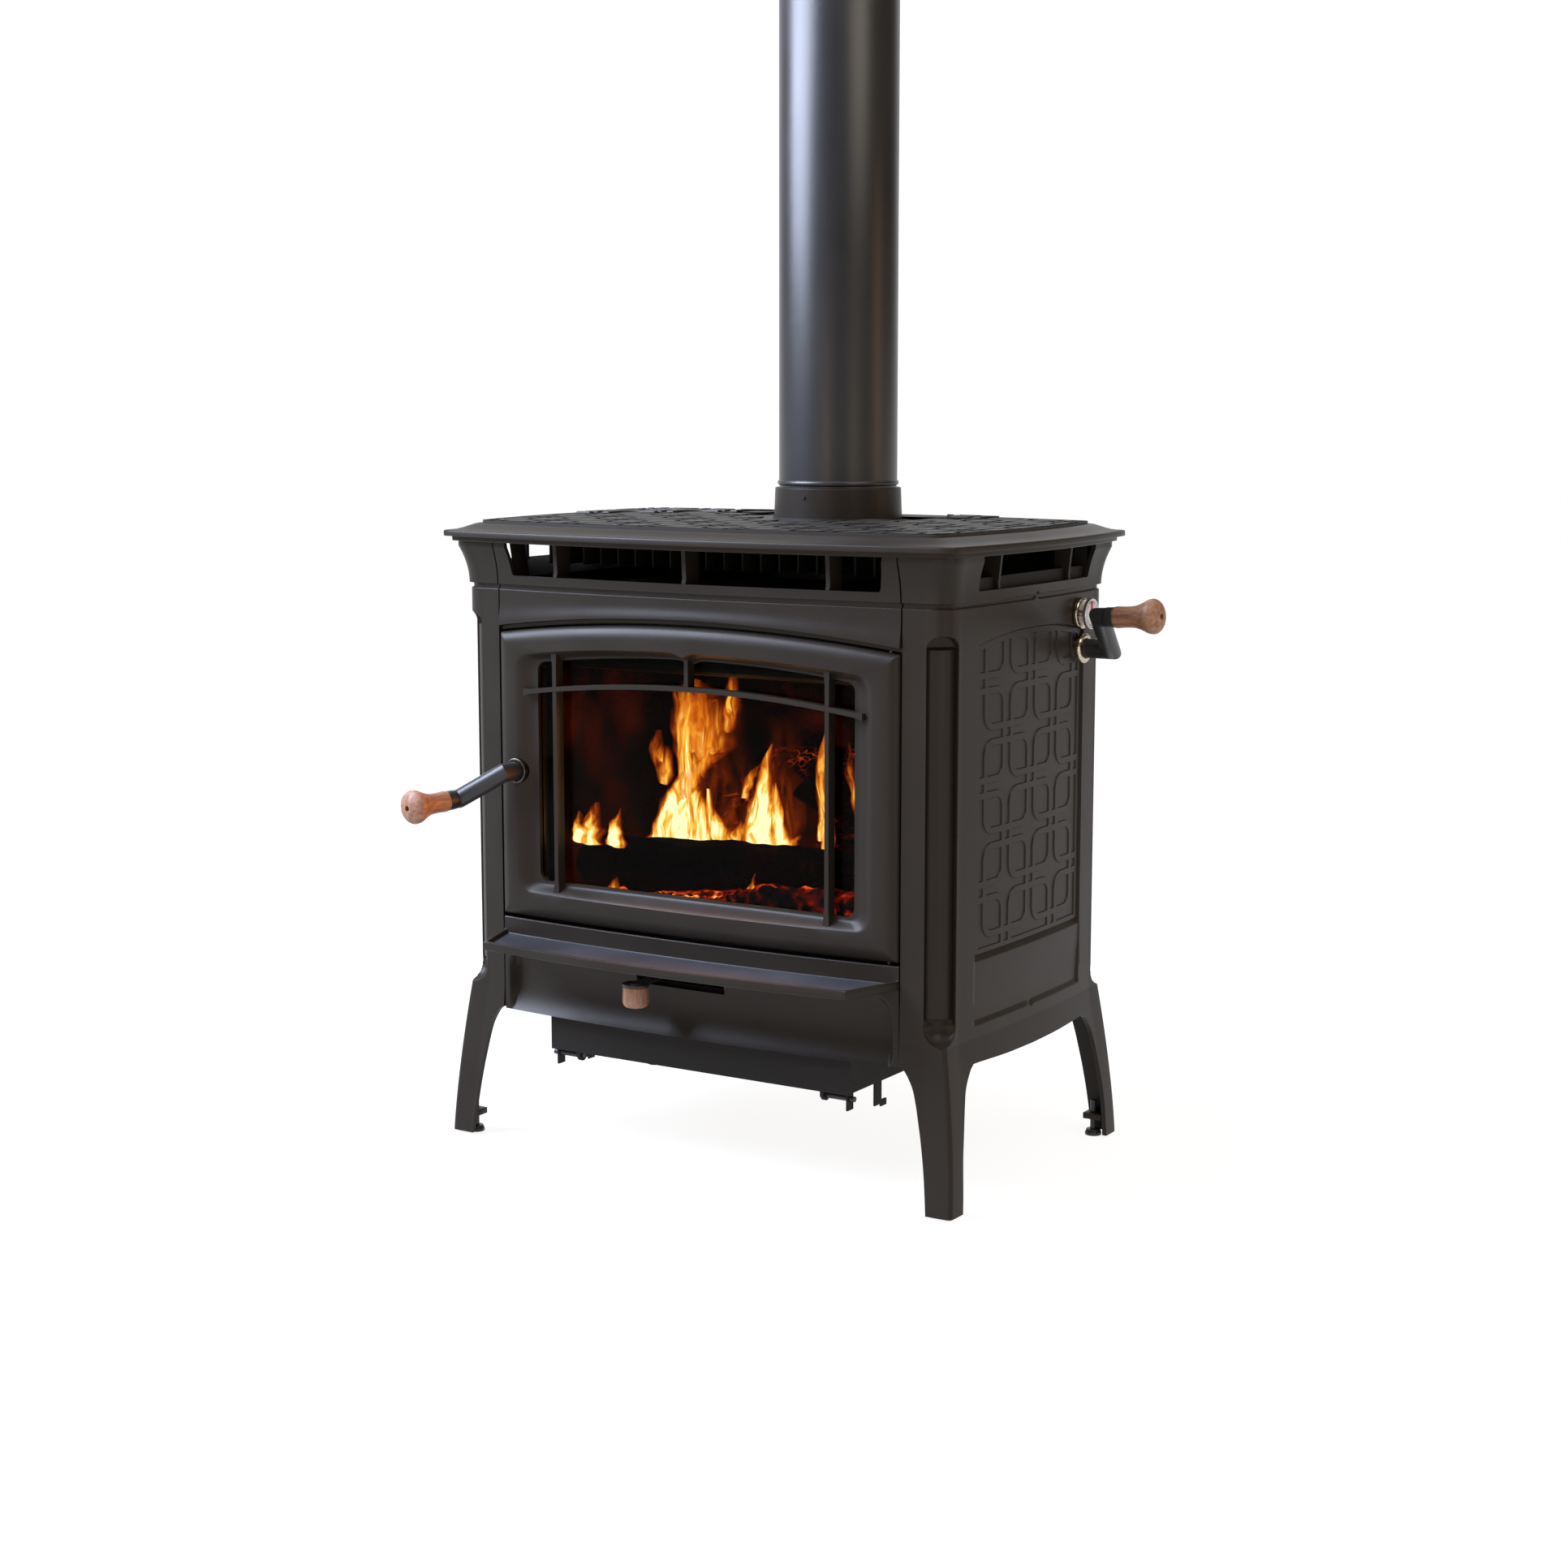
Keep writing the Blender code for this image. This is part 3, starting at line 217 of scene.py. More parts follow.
def lathe(profile, place, direction, steps=72):
    """A turned shape from (radius, height) pairs; a closed profile, as a ring's, ends where it starts."""
    turn = Vector(direction).to_track_quat("Z", "Y").to_matrix()
    shape = bmesh.new()
    rows = []
    for radius, height in profile:
        if radius == 0:
            rows.append([shape.verts.new(turn @ Vector((0, 0, height)) + Vector(place))])
            continue
        rim = [Vector((radius * cos(t), radius * sin(t), height)) for t in spread(0, tau, steps)[:-1]]
        rows.append([shape.verts.new(turn @ point + Vector(place)) for point in rim])
    for low, high in zip(rows, rows[1:]):
        for i in range(steps):
            j = (i + 1) % steps
            corners = [low[i % len(low)], low[j % len(low)], high[j % len(high)], high[i % len(high)]]
            unique = list(dict.fromkeys(corners))
            if len(unique) > 2:
                shape.faces.new(unique)
    bmesh.ops.remove_doubles(shape, verts=shape.verts, dist=1e-7)
    return shape


def box_into(shape, low, high, bevel=0.0):
    """Adds a block, with its edges rounded by bevel, to a bmesh."""
    low, high = Vector(low), Vector(high)
    made = bmesh.ops.create_cube(shape, size=1)["verts"]
    for vert in made:
        vert.co = Vector((low + high) / 2) + Vector(c * s for c, s in zip(vert.co, high - low))
    if bevel:
        edges = list({edge for vert in made for edge in vert.link_edges})
        bmesh.ops.bevel(shape, geom=edges, offset=bevel, segments=2, affect="EDGES", profile=0.5)


def rounded(profile, radius, steps=3):
    """The profile with its inner corners rounded, each by no more than half of its sides."""
    points = [Vector(point) for point in profile]
    line = [points[0]]
    for before, corner, after in zip(points, points[1:], points[2:]):
        reach = min(radius, (before - corner).length / 2, (after - corner).length / 2)
        start = corner + (before - corner).normalized() * reach
        end = corner + (after - corner).normalized() * reach
        line += [between(start, corner, end, t) for t in spread(0, 1, steps)]
    return line + [points[-1]]


def split_caps(shape):
    """Triangulates the faces with more than four corners."""
    bmesh.ops.triangulate(shape, faces=[face for face in shape.faces if len(face.verts) > 4])


def prism(outline, low, high, across):
    """A plate from an outline, from low to high along x or y."""
    shape = bmesh.new()
    stretch_into(shape, outline, low, high, across)
    return shape


def cut(obj, shapes, operation="DIFFERENCE"):
    """Cuts each bmesh from the piece, or joins it, and leaves the result in its mesh."""
    for shape in shapes:
        bmesh.ops.recalc_face_normals(shape, faces=shape.faces)
        mesh = bpy.data.meshes.new("cutter")
        shape.to_mesh(mesh)
        shape.free()
        cutter = bpy.data.objects.new("cutter", mesh)
        bpy.context.scene.collection.objects.link(cutter)
        boolean = obj.modifiers.new("cut", "BOOLEAN")
        boolean.operation = operation
        boolean.solver = "MANIFOLD"
        boolean.object = cutter
        bpy.context.view_layer.update()
        evaluated = obj.evaluated_get(bpy.context.evaluated_depsgraph_get())
        result = bpy.data.meshes.new_from_object(evaluated)
        obj.modifiers.remove(boolean)
        bpy.data.objects.remove(cutter)
        obj.data = result
    shade(obj.data, 38)
    return obj


def drill(radius, low, high, place, direction, steps):
    """A plain round cutter."""
    return lathe([(0, low), (radius, low), (radius, high), (0, high)], place, direction, steps)


# Materials


class Graph:
    """A material's node tree, with short ways to add nodes and join them."""

    def __init__(self, name):
        self.material = bpy.data.materials.new(name)
        self.material.use_nodes = True
        self.tree = self.material.node_tree
        self.shader = self.tree.nodes["Principled BSDF"]
        self.where = self.add("ShaderNodeTexCoord").outputs["Object"]

    def add(self, kind, inputs=None, **settings):
        node = self.tree.nodes.new(kind)
        for key, value in settings.items():
            setattr(node, key, value)
        for key, value in (inputs or {}).items():
            self.feed(node.inputs[key], value)
        return node

    def feed(self, socket, value):
        if isinstance(value, bpy.types.NodeSocket):
            self.tree.links.new(value, socket)
        else:
            socket.default_value = value

    def set(self, **values):
        for key, value in values.items():
            self.feed(self.shader.inputs[key.replace("_", " ")], value)

    def noise(self, scale, detail=3.0, vector=None, roughness=0.5, distortion=0.0):
        inputs = {"Scale": scale, "Detail": detail, "Roughness": roughness, "Distortion": distortion}
        inputs["Vector"] = vector or self.where
        return self.add("ShaderNodeTexNoise", inputs).outputs["Fac"]

    def ramp(self, factor, stops):
        node = self.add("ShaderNodeValToRGB", {"Fac": factor})
        elements = node.color_ramp.elements
        while len(elements) < len(stops):
            elements.new(0.5)
        for element, (position, colour) in zip(elements, stops):
            element.position = position
            element.color = (*colour, 1) if len(colour) == 3 else colour
        return node.outputs["Color"]

    def math(self, operation, a, b=0.0):
        return self.add("ShaderNodeMath", {0: a, 1: b}, operation=operation).outputs[0]

    def times(self, a, b):
        return self.math("MULTIPLY", a, b)

    def stretched(self, vector, scale):
        return self.add("ShaderNodeMapping", {"Vector": vector, "Scale": scale}).outputs["Vector"]

    def range(self, value, low, high, to_low=0.0, to_high=1.0):
        inputs = {"Value": value, "From Min": low, "From Max": high, "To Min": to_low, "To Max": to_high}
        return self.add("ShaderNodeMapRange", inputs).outputs["Result"]

    def bump(self, *layers):
        """Each layer is (height, distance in metres, strength)."""
        normal = None
        for height, distance, strength in layers:
            node = self.add("ShaderNodeBump", {"Height": height, "Distance": distance, "Strength": strength})
            if normal:
                self.feed(node.inputs["Normal"], normal)
            normal = node.outputs["Normal"]
        self.feed(self.shader.inputs["Normal"], normal)


def enamel_material(name, dark, light, grain=1.0, shine=(0.33, 0.45), scale=1250, level=0.36):
    """Satin enamel over cast iron: a fine orange peel, with slight changes of tone."""
    graph = Graph(name)
    fine = graph.noise(scale, 2.0)
    broad = graph.noise(9, 3.0)
    tone = graph.math("ADD", graph.times(fine, 0.55), graph.times(broad, 0.45))
    graph.set(Base_Color=graph.ramp(tone, [(0.3, dark), (0.7, light)]))
    graph.set(Roughness=graph.range(tone, 0.3, 0.7, *shine), Specular_IOR_Level=level)
    graph.bump((fine, 0.00022, 0.42 * grain), (graph.noise(130, 2.0), 0.0004, 0.10 * grain))
    return graph.material


def wood_material(name, along):
    """Oiled walnut: long darker figure and short pores that run along an axis."""
    graph = Graph(name)
    along = Vector(along).normalized()
    across = along.orthogonal().normalized()
    third = along.cross(across)

    def coordinates(stretch):
        parts = []
        for axis, factor in ((along, stretch), (across, 1.0), (third, 1.0)):
            inputs = {0: graph.where, 1: tuple(axis * factor)}
            parts.append(graph.add("ShaderNodeVectorMath", inputs, operation="DOT_PRODUCT").outputs["Value"])
        return graph.add("ShaderNodeCombineXYZ", dict(zip("XYZ", parts))).outputs["Vector"]

    figure = graph.noise(190, 4.0, coordinates(0.1), 0.6, 0.5)
    pores = graph.noise(1500, 2.0, coordinates(0.12))
    colour = graph.ramp(
        figure,
        [(0.28, (0.115, 0.048, 0.024)), (0.5, (0.215, 0.102, 0.055)), (0.75, (0.32, 0.17, 0.098))],
    )
    pits = graph.range(pores, 0.30, 0.44, 0.45, 1.0)
    mixed = graph.add("ShaderNodeMix", data_type="RGBA", blend_type="MULTIPLY")
    graph.feed(mixed.inputs["Factor"], 1.0)
    graph.feed(mixed.inputs[6], colour)
    graph.feed(mixed.inputs[7], pits)
    graph.set(Base_Color=mixed.outputs[2], Roughness=graph.range(figure, 0.3, 0.7, 0.62, 0.46))
    graph.bump((pores, 0.0003, 0.5))
    return graph.material


def metal_material(name, dark, light, roughness):
    graph = Graph(name)
    wear = graph.noise(260, 4.0)
    graph.set(Base_Color=graph.ramp(wear, [(0.3, dark), (0.7, light)]), Metallic=1.0)
    graph.set(Roughness=graph.range(wear, 0.3, 0.7, roughness, roughness + 0.14))
    graph.bump((graph.noise(1400, 2.0), 0.0001, 0.3))
    return graph.material


def brick_material():
    """Firebrick, black with soot, with a dull red heat in patches."""
    graph = Graph("sooty_firebrick")
    soot = graph.noise(16, 5.0, roughness=0.6)
    graph.set(
        Base_Color=graph.ramp(soot, [(0.35, (0.006, 0.0045, 0.004)), (0.7, (0.02, 0.011, 0.007))]),
        Roughness=0.95,
        Specular_IOR_Level=0.1,
    )
    heat = graph.times(graph.range(graph.noise(7, 2.0), 0.5, 0.68), graph.range(soot, 0.42, 0.62))
    graph.set(Emission_Color=(1.0, 0.07, 0.01, 1), Emission_Strength=graph.times(heat, 0.16))
    graph.bump((graph.noise(240, 5.0), 0.0012, 0.7))
    return graph.material


def charred_material(name, glow):
    """Charred bark, checked into small blocks, with a glow deep in a few of its cracks."""
    graph = Graph(name)
    drift = graph.add("ShaderNodeTexNoise", {"Vector": graph.where, "Scale": 38.0, "Detail": 3.0})
    inputs = {0: drift.outputs["Color"], 1: (0.028, 0.028, 0.028), 2: graph.where}
    moved = graph.add("ShaderNodeVectorMath", inputs, operation="MULTIPLY_ADD").outputs["Vector"]
    stretched = graph.stretched(moved, (0.4, 1.0, 1.0))
    inputs = {"Vector": stretched, "Scale": 120.0}
    cracks = graph.add("ShaderNodeTexVoronoi", inputs, feature="DISTANCE_TO_EDGE")
    crack = cracks.outputs["Distance"]
    ash = graph.noise(70, 5.0)
    graph.set(
        Base_Color=graph.ramp(ash, [(0.4, (0.0006, 0.0003, 0.0002)), (0.72, (0.0026, 0.0011, 0.0007))]),
        Roughness=0.95,
        Specular_IOR_Level=0.02,
    )
    place = graph.range(graph.noise(17, 3.0), 0.5, 0.64)
    place = graph.times(place, graph.range(ash, 0.4, 0.6, 0.1, 1.0))
    hot = graph.times(graph.range(crack, 0.0, 0.09, 1.0, 0.0), place)
    stops = [(0.0, (0.3, 0.008, 0.0)), (0.6, (0.9, 0.07, 0.005)), (1.0, (1.0, 0.26, 0.03))]
    graph.set(Emission_Color=graph.ramp(hot, stops), Emission_Strength=graph.times(hot, glow))
    graph.bump((graph.range(crack, 0.0, 0.12), 0.003, 0.8), (ash, 0.001, 0.4))
    return graph.material


def ember_material():
    """Coals: dark crusts with red and orange between them."""
    graph = Graph("ember_coals")
    clump = graph.noise(60, 6.0, roughness=0.65)
    patch = graph.noise(11, 2.0)
    heat = graph.times(graph.range(clump, 0.44, 0.66), graph.range(patch, 0.36, 0.6, 0.15, 1.0))
    graph.set(
        Base_Color=graph.ramp(clump, [(0.35, (0.008, 0.005, 0.004)), (0.7, (0.07, 0.03, 0.02))]),
        Roughness=0.95,
    )
    stops = [(0.0, (0.05, 0.0, 0.0)), (0.3, (0.6, 0.02, 0.0)), (0.65, (1.0, 0.14, 0.01))]
    stops.append((1.0, (1.0, 0.5, 0.12)))
    graph.set(Emission_Color=graph.ramp(heat, stops), Emission_Strength=graph.times(heat, 9.0))
    graph.bump((clump, 0.004, 0.8))
    return graph.material


def flame_material():
    """A flame sheet: hottest in its middle and low down, clear at its edges, from the mesh's attributes."""
    graph = Graph("flame")
    across, along, power = (
        graph.add("ShaderNodeAttribute", attribute_name=name).outputs["Fac"]
        for name in ("across", "along", "power")
    )
    wisps = graph.noise(62, 3.0, graph.stretched(graph.where, (1.0, 1.0, 0.22)), 0.55, 1.6)
    edge = graph.math("SUBTRACT", 1.0, graph.times(across, across))
    fade = graph.range(along, 0.3, 1.0, 1.0, 0.3)
    heat = graph.times(graph.times(edge, fade), graph.range(wisps, 0.3, 0.68, 0.35, 1.25))
    heat = graph.times(heat, graph.times(power, 0.78))
    stops = [(0.0, (0.22, 0.01, 0.0)), (0.25, (0.75, 0.085, 0.003)), (0.48, (1.0, 0.27, 0.012))]
    stops += [(0.72, (1.0, 0.56, 0.07)), (0.95, (1.0, 0.86, 0.42))]
    colour = graph.ramp(heat, stops)
    see_through = graph.add("ShaderNodeBsdfTransparent")
    strength = graph.range(heat, 0.1, 1.0, 2.8, 9.0)
    light = graph.add("ShaderNodeEmission", {"Color": colour, "Strength": strength})
    share = graph.range(heat, 0.05, 0.6, 0.0, 0.96)
    mix = graph.add("ShaderNodeMixShader", {0: share, 1: see_through.outputs[0], 2: light.outputs[0]})
    graph.tree.nodes.remove(graph.shader)
    graph.feed(graph.tree.nodes["Material Output"].inputs["Surface"], mix.outputs[0])
    return graph.material


def glass_material():
    graph = Graph("door_glass_clear")
    smudge = graph.noise(14, 3.0)
    graph.set(Base_Color=(0.0003, 0.0002, 0.0001, 1), Roughness=graph.range(smudge, 0.3, 0.7, 0.02, 0.08))
    graph.set(Alpha=0.6, Specular_IOR_Level=0.04)
    return graph.material


def rope_material():
    graph = Graph("glass_rope")
    strands = graph.noise(900, 2.0)
    graph.set(
        Base_Color=graph.ramp(strands, [(0.3, (0.02, 0.02, 0.02)), (0.7, (0.08, 0.08, 0.075))]),
        Roughness=0.95,
    )
    graph.bump((strands, 0.0008, 0.8))
    return graph.material


ENAMEL = enamel_material("charcoal_enamel", (0.0125, 0.0100, 0.0078), (0.0190, 0.0154, 0.0122), level=0.14)
PIPE_PAINT = enamel_material(
    "pipe_paint", (0.0095, 0.0095, 0.0102), (0.014, 0.014, 0.0148), 0.8, (0.3, 0.38), 1500
)
TOP_ENAMEL = enamel_material(
    "top_enamel", (0.011, 0.0095, 0.0075), (0.020, 0.0175, 0.0145), 1.0, (0.5, 0.62), 1250, 0.3
)
STIPPLE = enamel_material("tray_stipple", (0.008, 0.009, 0.012), (0.036, 0.04, 0.05), 2.4, (0.4, 0.62), 620)
BLACK_IRON = enamel_material(
    "black_iron_skin", (0.0035, 0.003, 0.0026), (0.011, 0.0095, 0.0085), 1.6, (0.5, 0.7), 800, 0.16
)
BLACK_STEEL = enamel_material(
    "black_steel_skin", (0.010, 0.0105, 0.012), (0.022, 0.022, 0.025), 0.6, (0.3, 0.42), 1500
)
NICKEL = metal_material("tinted_nickel", (0.34, 0.27, 0.19), (0.62, 0.55, 0.45), 0.16)
DARK_NICKEL = metal_material("dark_nickel", (0.05, 0.042, 0.033), (0.11, 0.095, 0.078), 0.24)
BRICK = brick_material()
CHARRED = charred_material("charred_bark", 0.12)
GLOWING = charred_material("glowing_bark", 3.2)
EMBERS = ember_material()
FLAME = flame_material()
GLASS = glass_material()
ROPE = rope_material()
DIAL = metal_material("dial_plate", (0.42, 0.42, 0.42), (0.6, 0.6, 0.6), 0.3)
RED = enamel_material("pointer_red", (0.5, 0.012, 0.012), (0.7, 0.03, 0.03), 0.3)
WALNUT = wood_material("walnut_upright", UP)

SLOT_MATERIALS = {
    "enamel": ENAMEL,
    "black_iron": BLACK_IRON,
    "black_steel": BLACK_STEEL,
    "nickel": NICKEL,
    "walnut": WALNUT,
    "ceramic_glass": GLASS,
    "firebrick": BRICK,
    "gasket_rope": ROPE,
    "charred_wood": CHARRED,
    "embers": EMBERS,
    "dial_face": DIAL,
    "red_pointer": RED,
}
for part in frame["record"]["subparts"]:
    carried = frame["nodes"][part["node"]]
    carried.data.materials.clear()
    carried.data.materials.append(SLOT_MATERIALS[part["material_slot"]])
for name in ("ash_door", "ash_housing", "ash_pan", "bottom_plate", "firebox_front", "convection_fins"):
    edges = frame["nodes"][name].modifiers.new("softened edges", "BEVEL")
    edges.width = 0.0005
    edges.segments = 2
    edges.limit_method = "ANGLE"
frame["nodes"]["firebox_front"].data.materials[0] = STIPPLE


# Body curves


def front_depth(x):
    return FRONT_REACH - FRONT_CURVE * x * x


def side_width(y):
    return SIDE_REACH - SIDE_CURVE * y * y


def cove(z):
    """How far the cornice stands out: a groove, a flare and a lip, each eased into the next."""
    past_groove = smooth(COVE_Z - 0.0004, COVE_Z + 0.0008, z)
    groove = -0.002 * (smooth(GROOVE_Z - 0.0012, GROOVE_Z + 0.0004, z) - past_groove)
    rise = max(0.0, min(1.0, (z - COVE_Z) / (LIP_Z - COVE_Z)))
    flare = (0.002 + 0.009 * rise * rise) * past_groove
    return groove + flare + 0.0005 * smooth(LIP_Z + 0.0002, LIP_Z + 0.0012, z)


def splay_x(z):
    return LEG_SPLAY_X * (1 - (min(z, LEG_TOP) / LEG_TOP) ** 1.6)


def splay_y(z):
    return LEG_SPLAY_Y * (1 - min(z, LEG_TOP) / LEG_TOP)


def chevron(y):
    """The small point that a horizontal line makes in the middle of a side."""
    return max(0.0, 1 - abs(y) / 0.0062)


# Relief: leaf-shaped pockets between raised bands that cross in a basket pattern

PITCH = 0.0618
BAND = 0.0076
HALF_GAP = 0.0053
LEAF_HALF = PITCH / 2 - HALF_GAP - BAND
ROUND = 0.0205
SMALL_ROUND = 0.0012
KNOT_ROUND = 0.0008
LEAST_POCKET = 1.5e-5
POCKET_SLOPE = 0.0009


def rounded_square(centre_a, centre_b, half, corners):
    """A square's outline, with (radius, steps) for each of its corners in turn."""
    outline = []
    for k, (radius, steps) in enumerate(corners):
        turn = k * pi / 2
        reach = half - radius
        a, b = centre_a + (cos(turn) - sin(turn)) * reach, centre_b + (sin(turn) + cos(turn)) * reach
        outline += arc(a, b, radius, turn, turn + pi / 2, steps)
    return outline


def leaf(centre_a, centre_b, lean):
    """The pocket in a cell: rounded at two opposite corners, which lean says, and square at the others."""
    corners = [(ROUND - BAND, 9), (SMALL_ROUND, 2)] * 2
    return rounded_square(centre_a, centre_b, LEAF_HALF, corners[::-1] if lean else corners)


def star(centre_a, centre_b):
    """The pocket where four rounded corners meet, with an arm between each two cells."""
    arm = PITCH - HALF_GAP - BAND
    centre = HALF_GAP + ROUND
    bend = [(centre - ROUND * sin(t), centre - ROUND * cos(t)) for t in spread(0, pi / 2, 9)]
    quarter = [(arm, HALF_GAP)] + bend + [(HALF_GAP, arm)]
    outline = []
    for k in range(4):
        c, s = cos(k * pi / 2), sin(k * pi / 2)
        outline += [(centre_a + a * c - b * s, centre_b + a * s + b * c) for a, b in quarter]
    return outline


def knot(centre_a, centre_b):
    """The small pocket inside the crossing of two pairs of bands."""
    return rounded_square(centre_a, centre_b, HALF_GAP, [(KNOT_ROUND, 2)] * 4)


def clip(outline, inside):
    """The part of an outline where inside(a, b), a distance from a border, is positive."""
    kept = []
    for (a, b), (c, d) in zip(outline, outline[1:] + outline[:1]):
        here, there = inside(a, b), inside(c, d)
        if here > 0:
            kept.append((a, b))
        if (here > 0) != (there > 0):
            share = here / (here - there)
            kept.append((a + (c - a) * share, b + (d - b) * share))
    return kept


def area_of(outline):
    return abs(sum(a * d - c * b for (a, b), (c, d) in zip(outline, outline[1:] + outline[:1]))) / 2


def pockets(columns, rows, first_a, first_b, lean, borders):
    """The pockets of a pattern of columns by rows cells, clipped to the borders."""
    found = []
    for i in range(-1, columns + 1):
        for j in range(-1, rows + 1):
            a, b = first_a + i * PITCH, first_b + j * PITCH
            found.append(leaf(a, b, (i + j + lean + 1) % 2))
            corner = knot if (i + j + lean) % 2 == 0 else star
            found.append(corner(a + PITCH / 2, b + PITCH / 2))
    kept = []
    for outline in found:
        for border in borders:
            if outline:
                outline = clip(outline, border)
        if len(outline) > 2 and area_of(outline) > LEAST_POCKET:
            pairs = zip(outline, outline[1:] + outline[:1])
            kept.append([one for one, after in pairs if hypot(one[0] - after[0], one[1] - after[1]) > 1e-5])
    return kept


def relief_plate(edge, hollows, depth, thickness, place, bend_lines=(), openings=()):
    """A plate with sunk pockets, and openings through it. place(a, b, height) puts a point in the frame."""
    shape = bmesh.new()

    def ring(outline, height):
        verts = [shape.verts.new((a, b, height)) for a, b in outline]
        return verts, [shape.edges.new((verts[i], verts[(i + 1) % len(verts)])) for i in range(len(verts))]

    rims = [ring(outline, 0) for outline in (edge, *openings)]
    holes = [ring(outline, 0) for outline in hollows]
    bmesh.ops.triangle_fill(shape, use_beauty=True, edges=[e for _, edges in rims + holes for e in edges])
    floors = [shape.faces.new(verts) for verts, _ in holes]
    bmesh.ops.recalc_face_normals(shape, faces=shape.faces)
    if sum(face.normal.z for face in floors) < 0:
        bmesh.ops.reverse_faces(shape, faces=shape.faces)
    settings = {"thickness": POCKET_SLOPE, "depth": -depth, "use_even_offset": True}
    bmesh.ops.inset_individual(shape, faces=floors, **settings)
    bases = [ring(outline, -thickness) for outline in (edge, *openings)]
    bmesh.ops.triangle_fill(shape, use_beauty=True, edges=[e for _, edges in bases for e in edges])
    for (rim, _), (base, _) in zip(rims, bases):
        join_rings(shape, rim, base)
    for line in bend_lines:
        geometry = shape.verts[:] + shape.edges[:] + shape.faces[:]
        bmesh.ops.bisect_plane(shape, geom=geometry, plane_co=(line, 0, 0), plane_no=(1, 0, 0), dist=1e-6)
    split_caps(shape)
    for vert in shape.verts:
        vert.co = place(*vert.co)
    return shape


# Side castings: a wall with a sunk panel, two fluted corner posts and the legs below them

PANEL_Y = 0.1405
PANEL_ARCH = 0.014
PANEL_LOW = 0.2995
PANEL_HIGH = 0.665
PANEL_SINK = 0.003
FLUTE_HALF = 0.0193
FLUTE_FLOOR = -0.0063
COLUMN_R = 0.0233
TURN = [0, 0.008, 0.016, 0.024, 0.034, 0.046, 0.06, 0.075, 0.095] + spread(0.12, 0.5, 13)
TURN = sorted({round(t, 4) for t in TURN})
TURN += [round(1 - t, 4) for t in TURN[-2::-1]]


def arch_rise(y):
    return PANEL_ARCH * max(0.0, 1 - (y / PANEL_Y) ** 2)


def casting_height(station, z):
    """The height of a grid row, which bends to follow the panel's arch and the chevrons."""
    kind, value, _ = station
    if kind != "side":
        return z
    bend = smooth(0.6, 0.662, z) - smooth(0.668, 0.708, z)
    point = smooth(0.7085, 0.711, z) - smooth(0.7175, 0.724, z)
    low_point = smooth(0.206, 0.214, z) - smooth(0.222, 0.232, z)
    return z + arch_rise(value) * bend + 0.0034 * chevron(value) * (point - low_point)


def side_sink(y, z):
    """How far a side is sunk at a grid row: the relief panel, and the plain field below it."""
    across = smooth(0, 0.0018, PANEL_Y - abs(y))
    panel = 0.0048 * max(0.0, min(1.0, (z - 0.2895) / 0.0095))
    field = (0.0028 - 0.0018 * smooth(0.225, 0.289, z)) * max(0.0, min(1.0, (z - 0.2145) / 0.0065))
    return across * max(panel, field) * (1 - smooth(PANEL_HIGH - 0.0018, PANEL_HIGH, z))


def corner_point(t, z):
    """The corner post in plan, for the corner in +x and +y, from its front at 0 to its side at 1."""
    front = Vector((CORNER_X, front_depth(CORNER_X)))
    side = Vector((side_width(CORNER_Y), CORNER_Y))
    tip = Vector((side.x, front.y))
    rounded_off = between(front, tip, side, t)
    radius = 0.006
    start, end = tip + Vector((-radius, 0)), tip + Vector((0, -radius))
    if t < 0.36:
        crisp = front.lerp(start, t / 0.36)
    elif t > 0.64:
        crisp = end.lerp(side, (t - 0.64) / 0.36)
    else:
        crisp = between(start, tip, end, (t - 0.36) / 0.28)
    plain = rounded_off.lerp(crisp, 0.92 * smooth(0.236, 0.206, z))
    chord = front.lerp(side, t)
    outward = Vector((side - front).normalized().orthogonal())
    if outward.x < 0:
        outward.negate()
    off = (t - 0.5) * (side - front).length + 0.001
    wall = smooth(0, 0.0016, FLUTE_HALF - abs(off))
    end_share = hypot(off / FLUTE_HALF, max(0.0, z - 0.666) / 0.0145)
    wall = min(wall, smooth(0, 0.12, 1 - end_share))
    reach = 1 - (off / FLUTE_HALF) ** 2 - (max(0.0, 0.222 - z) / 0.022) ** 2
    bowl = sqrt(max(0.0, reach))
    share = bowl + (wall - bowl) * smooth(0.222, 0.231, z)
    column = 0.002 - COLUMN_R + sqrt(max(0.0, COLUMN_R**2 - off * off))
    column_share = smooth(0.2295, 0.2325, z) * (1 - smooth(0.6635, 0.6665, z))
    depth = FLUTE_FLOOR + (max(column, FLUTE_FLOOR) - FLUTE_FLOOR) * column_share
    return plain.lerp(chord + outward * depth, share)


def casting_outer(station, z):
    kind, value, end = station
    height = casting_height(station, z)
    if kind == "front":
        share = (value - SEAM_X) / (CORNER_X - SEAM_X)
        x = value + (splay_x(z) + cove(z)) * share
        return Vector((x, end * (front_depth(value) + cove(z) + splay_y(z)), height))
    if kind == "side":
        return Vector((side_width(value) + cove(z) + splay_x(z) - side_sink(value, z), value, height))
    point = corner_point(value, z)
    return Vector((point.x + cove(z) + splay_x(z), end * (point.y + cove(z) + splay_y(z)), z))


def casting_inner(station, z):
    kind, value, end = station
    turned_by = {"front": 0, "side": 1, "corner": value}[kind] * pi / 2
    depth = WALL + min(cove(z), 0)
    if kind == "side":
        depth -= side_sink(value, z)
    if kind == "corner" and 0.195 < z < 0.68:
        plain = corner_point(value, 0.69)
        shell = plain - Vector((sin(turned_by), cos(turned_by))) * 0.018
        return Vector((shell.x + splay_x(z), end * (shell.y + splay_y(z)), z))
    return casting_outer(station, z) - Vector((sin(turned_by), end * cos(turned_by), 0)) * depth


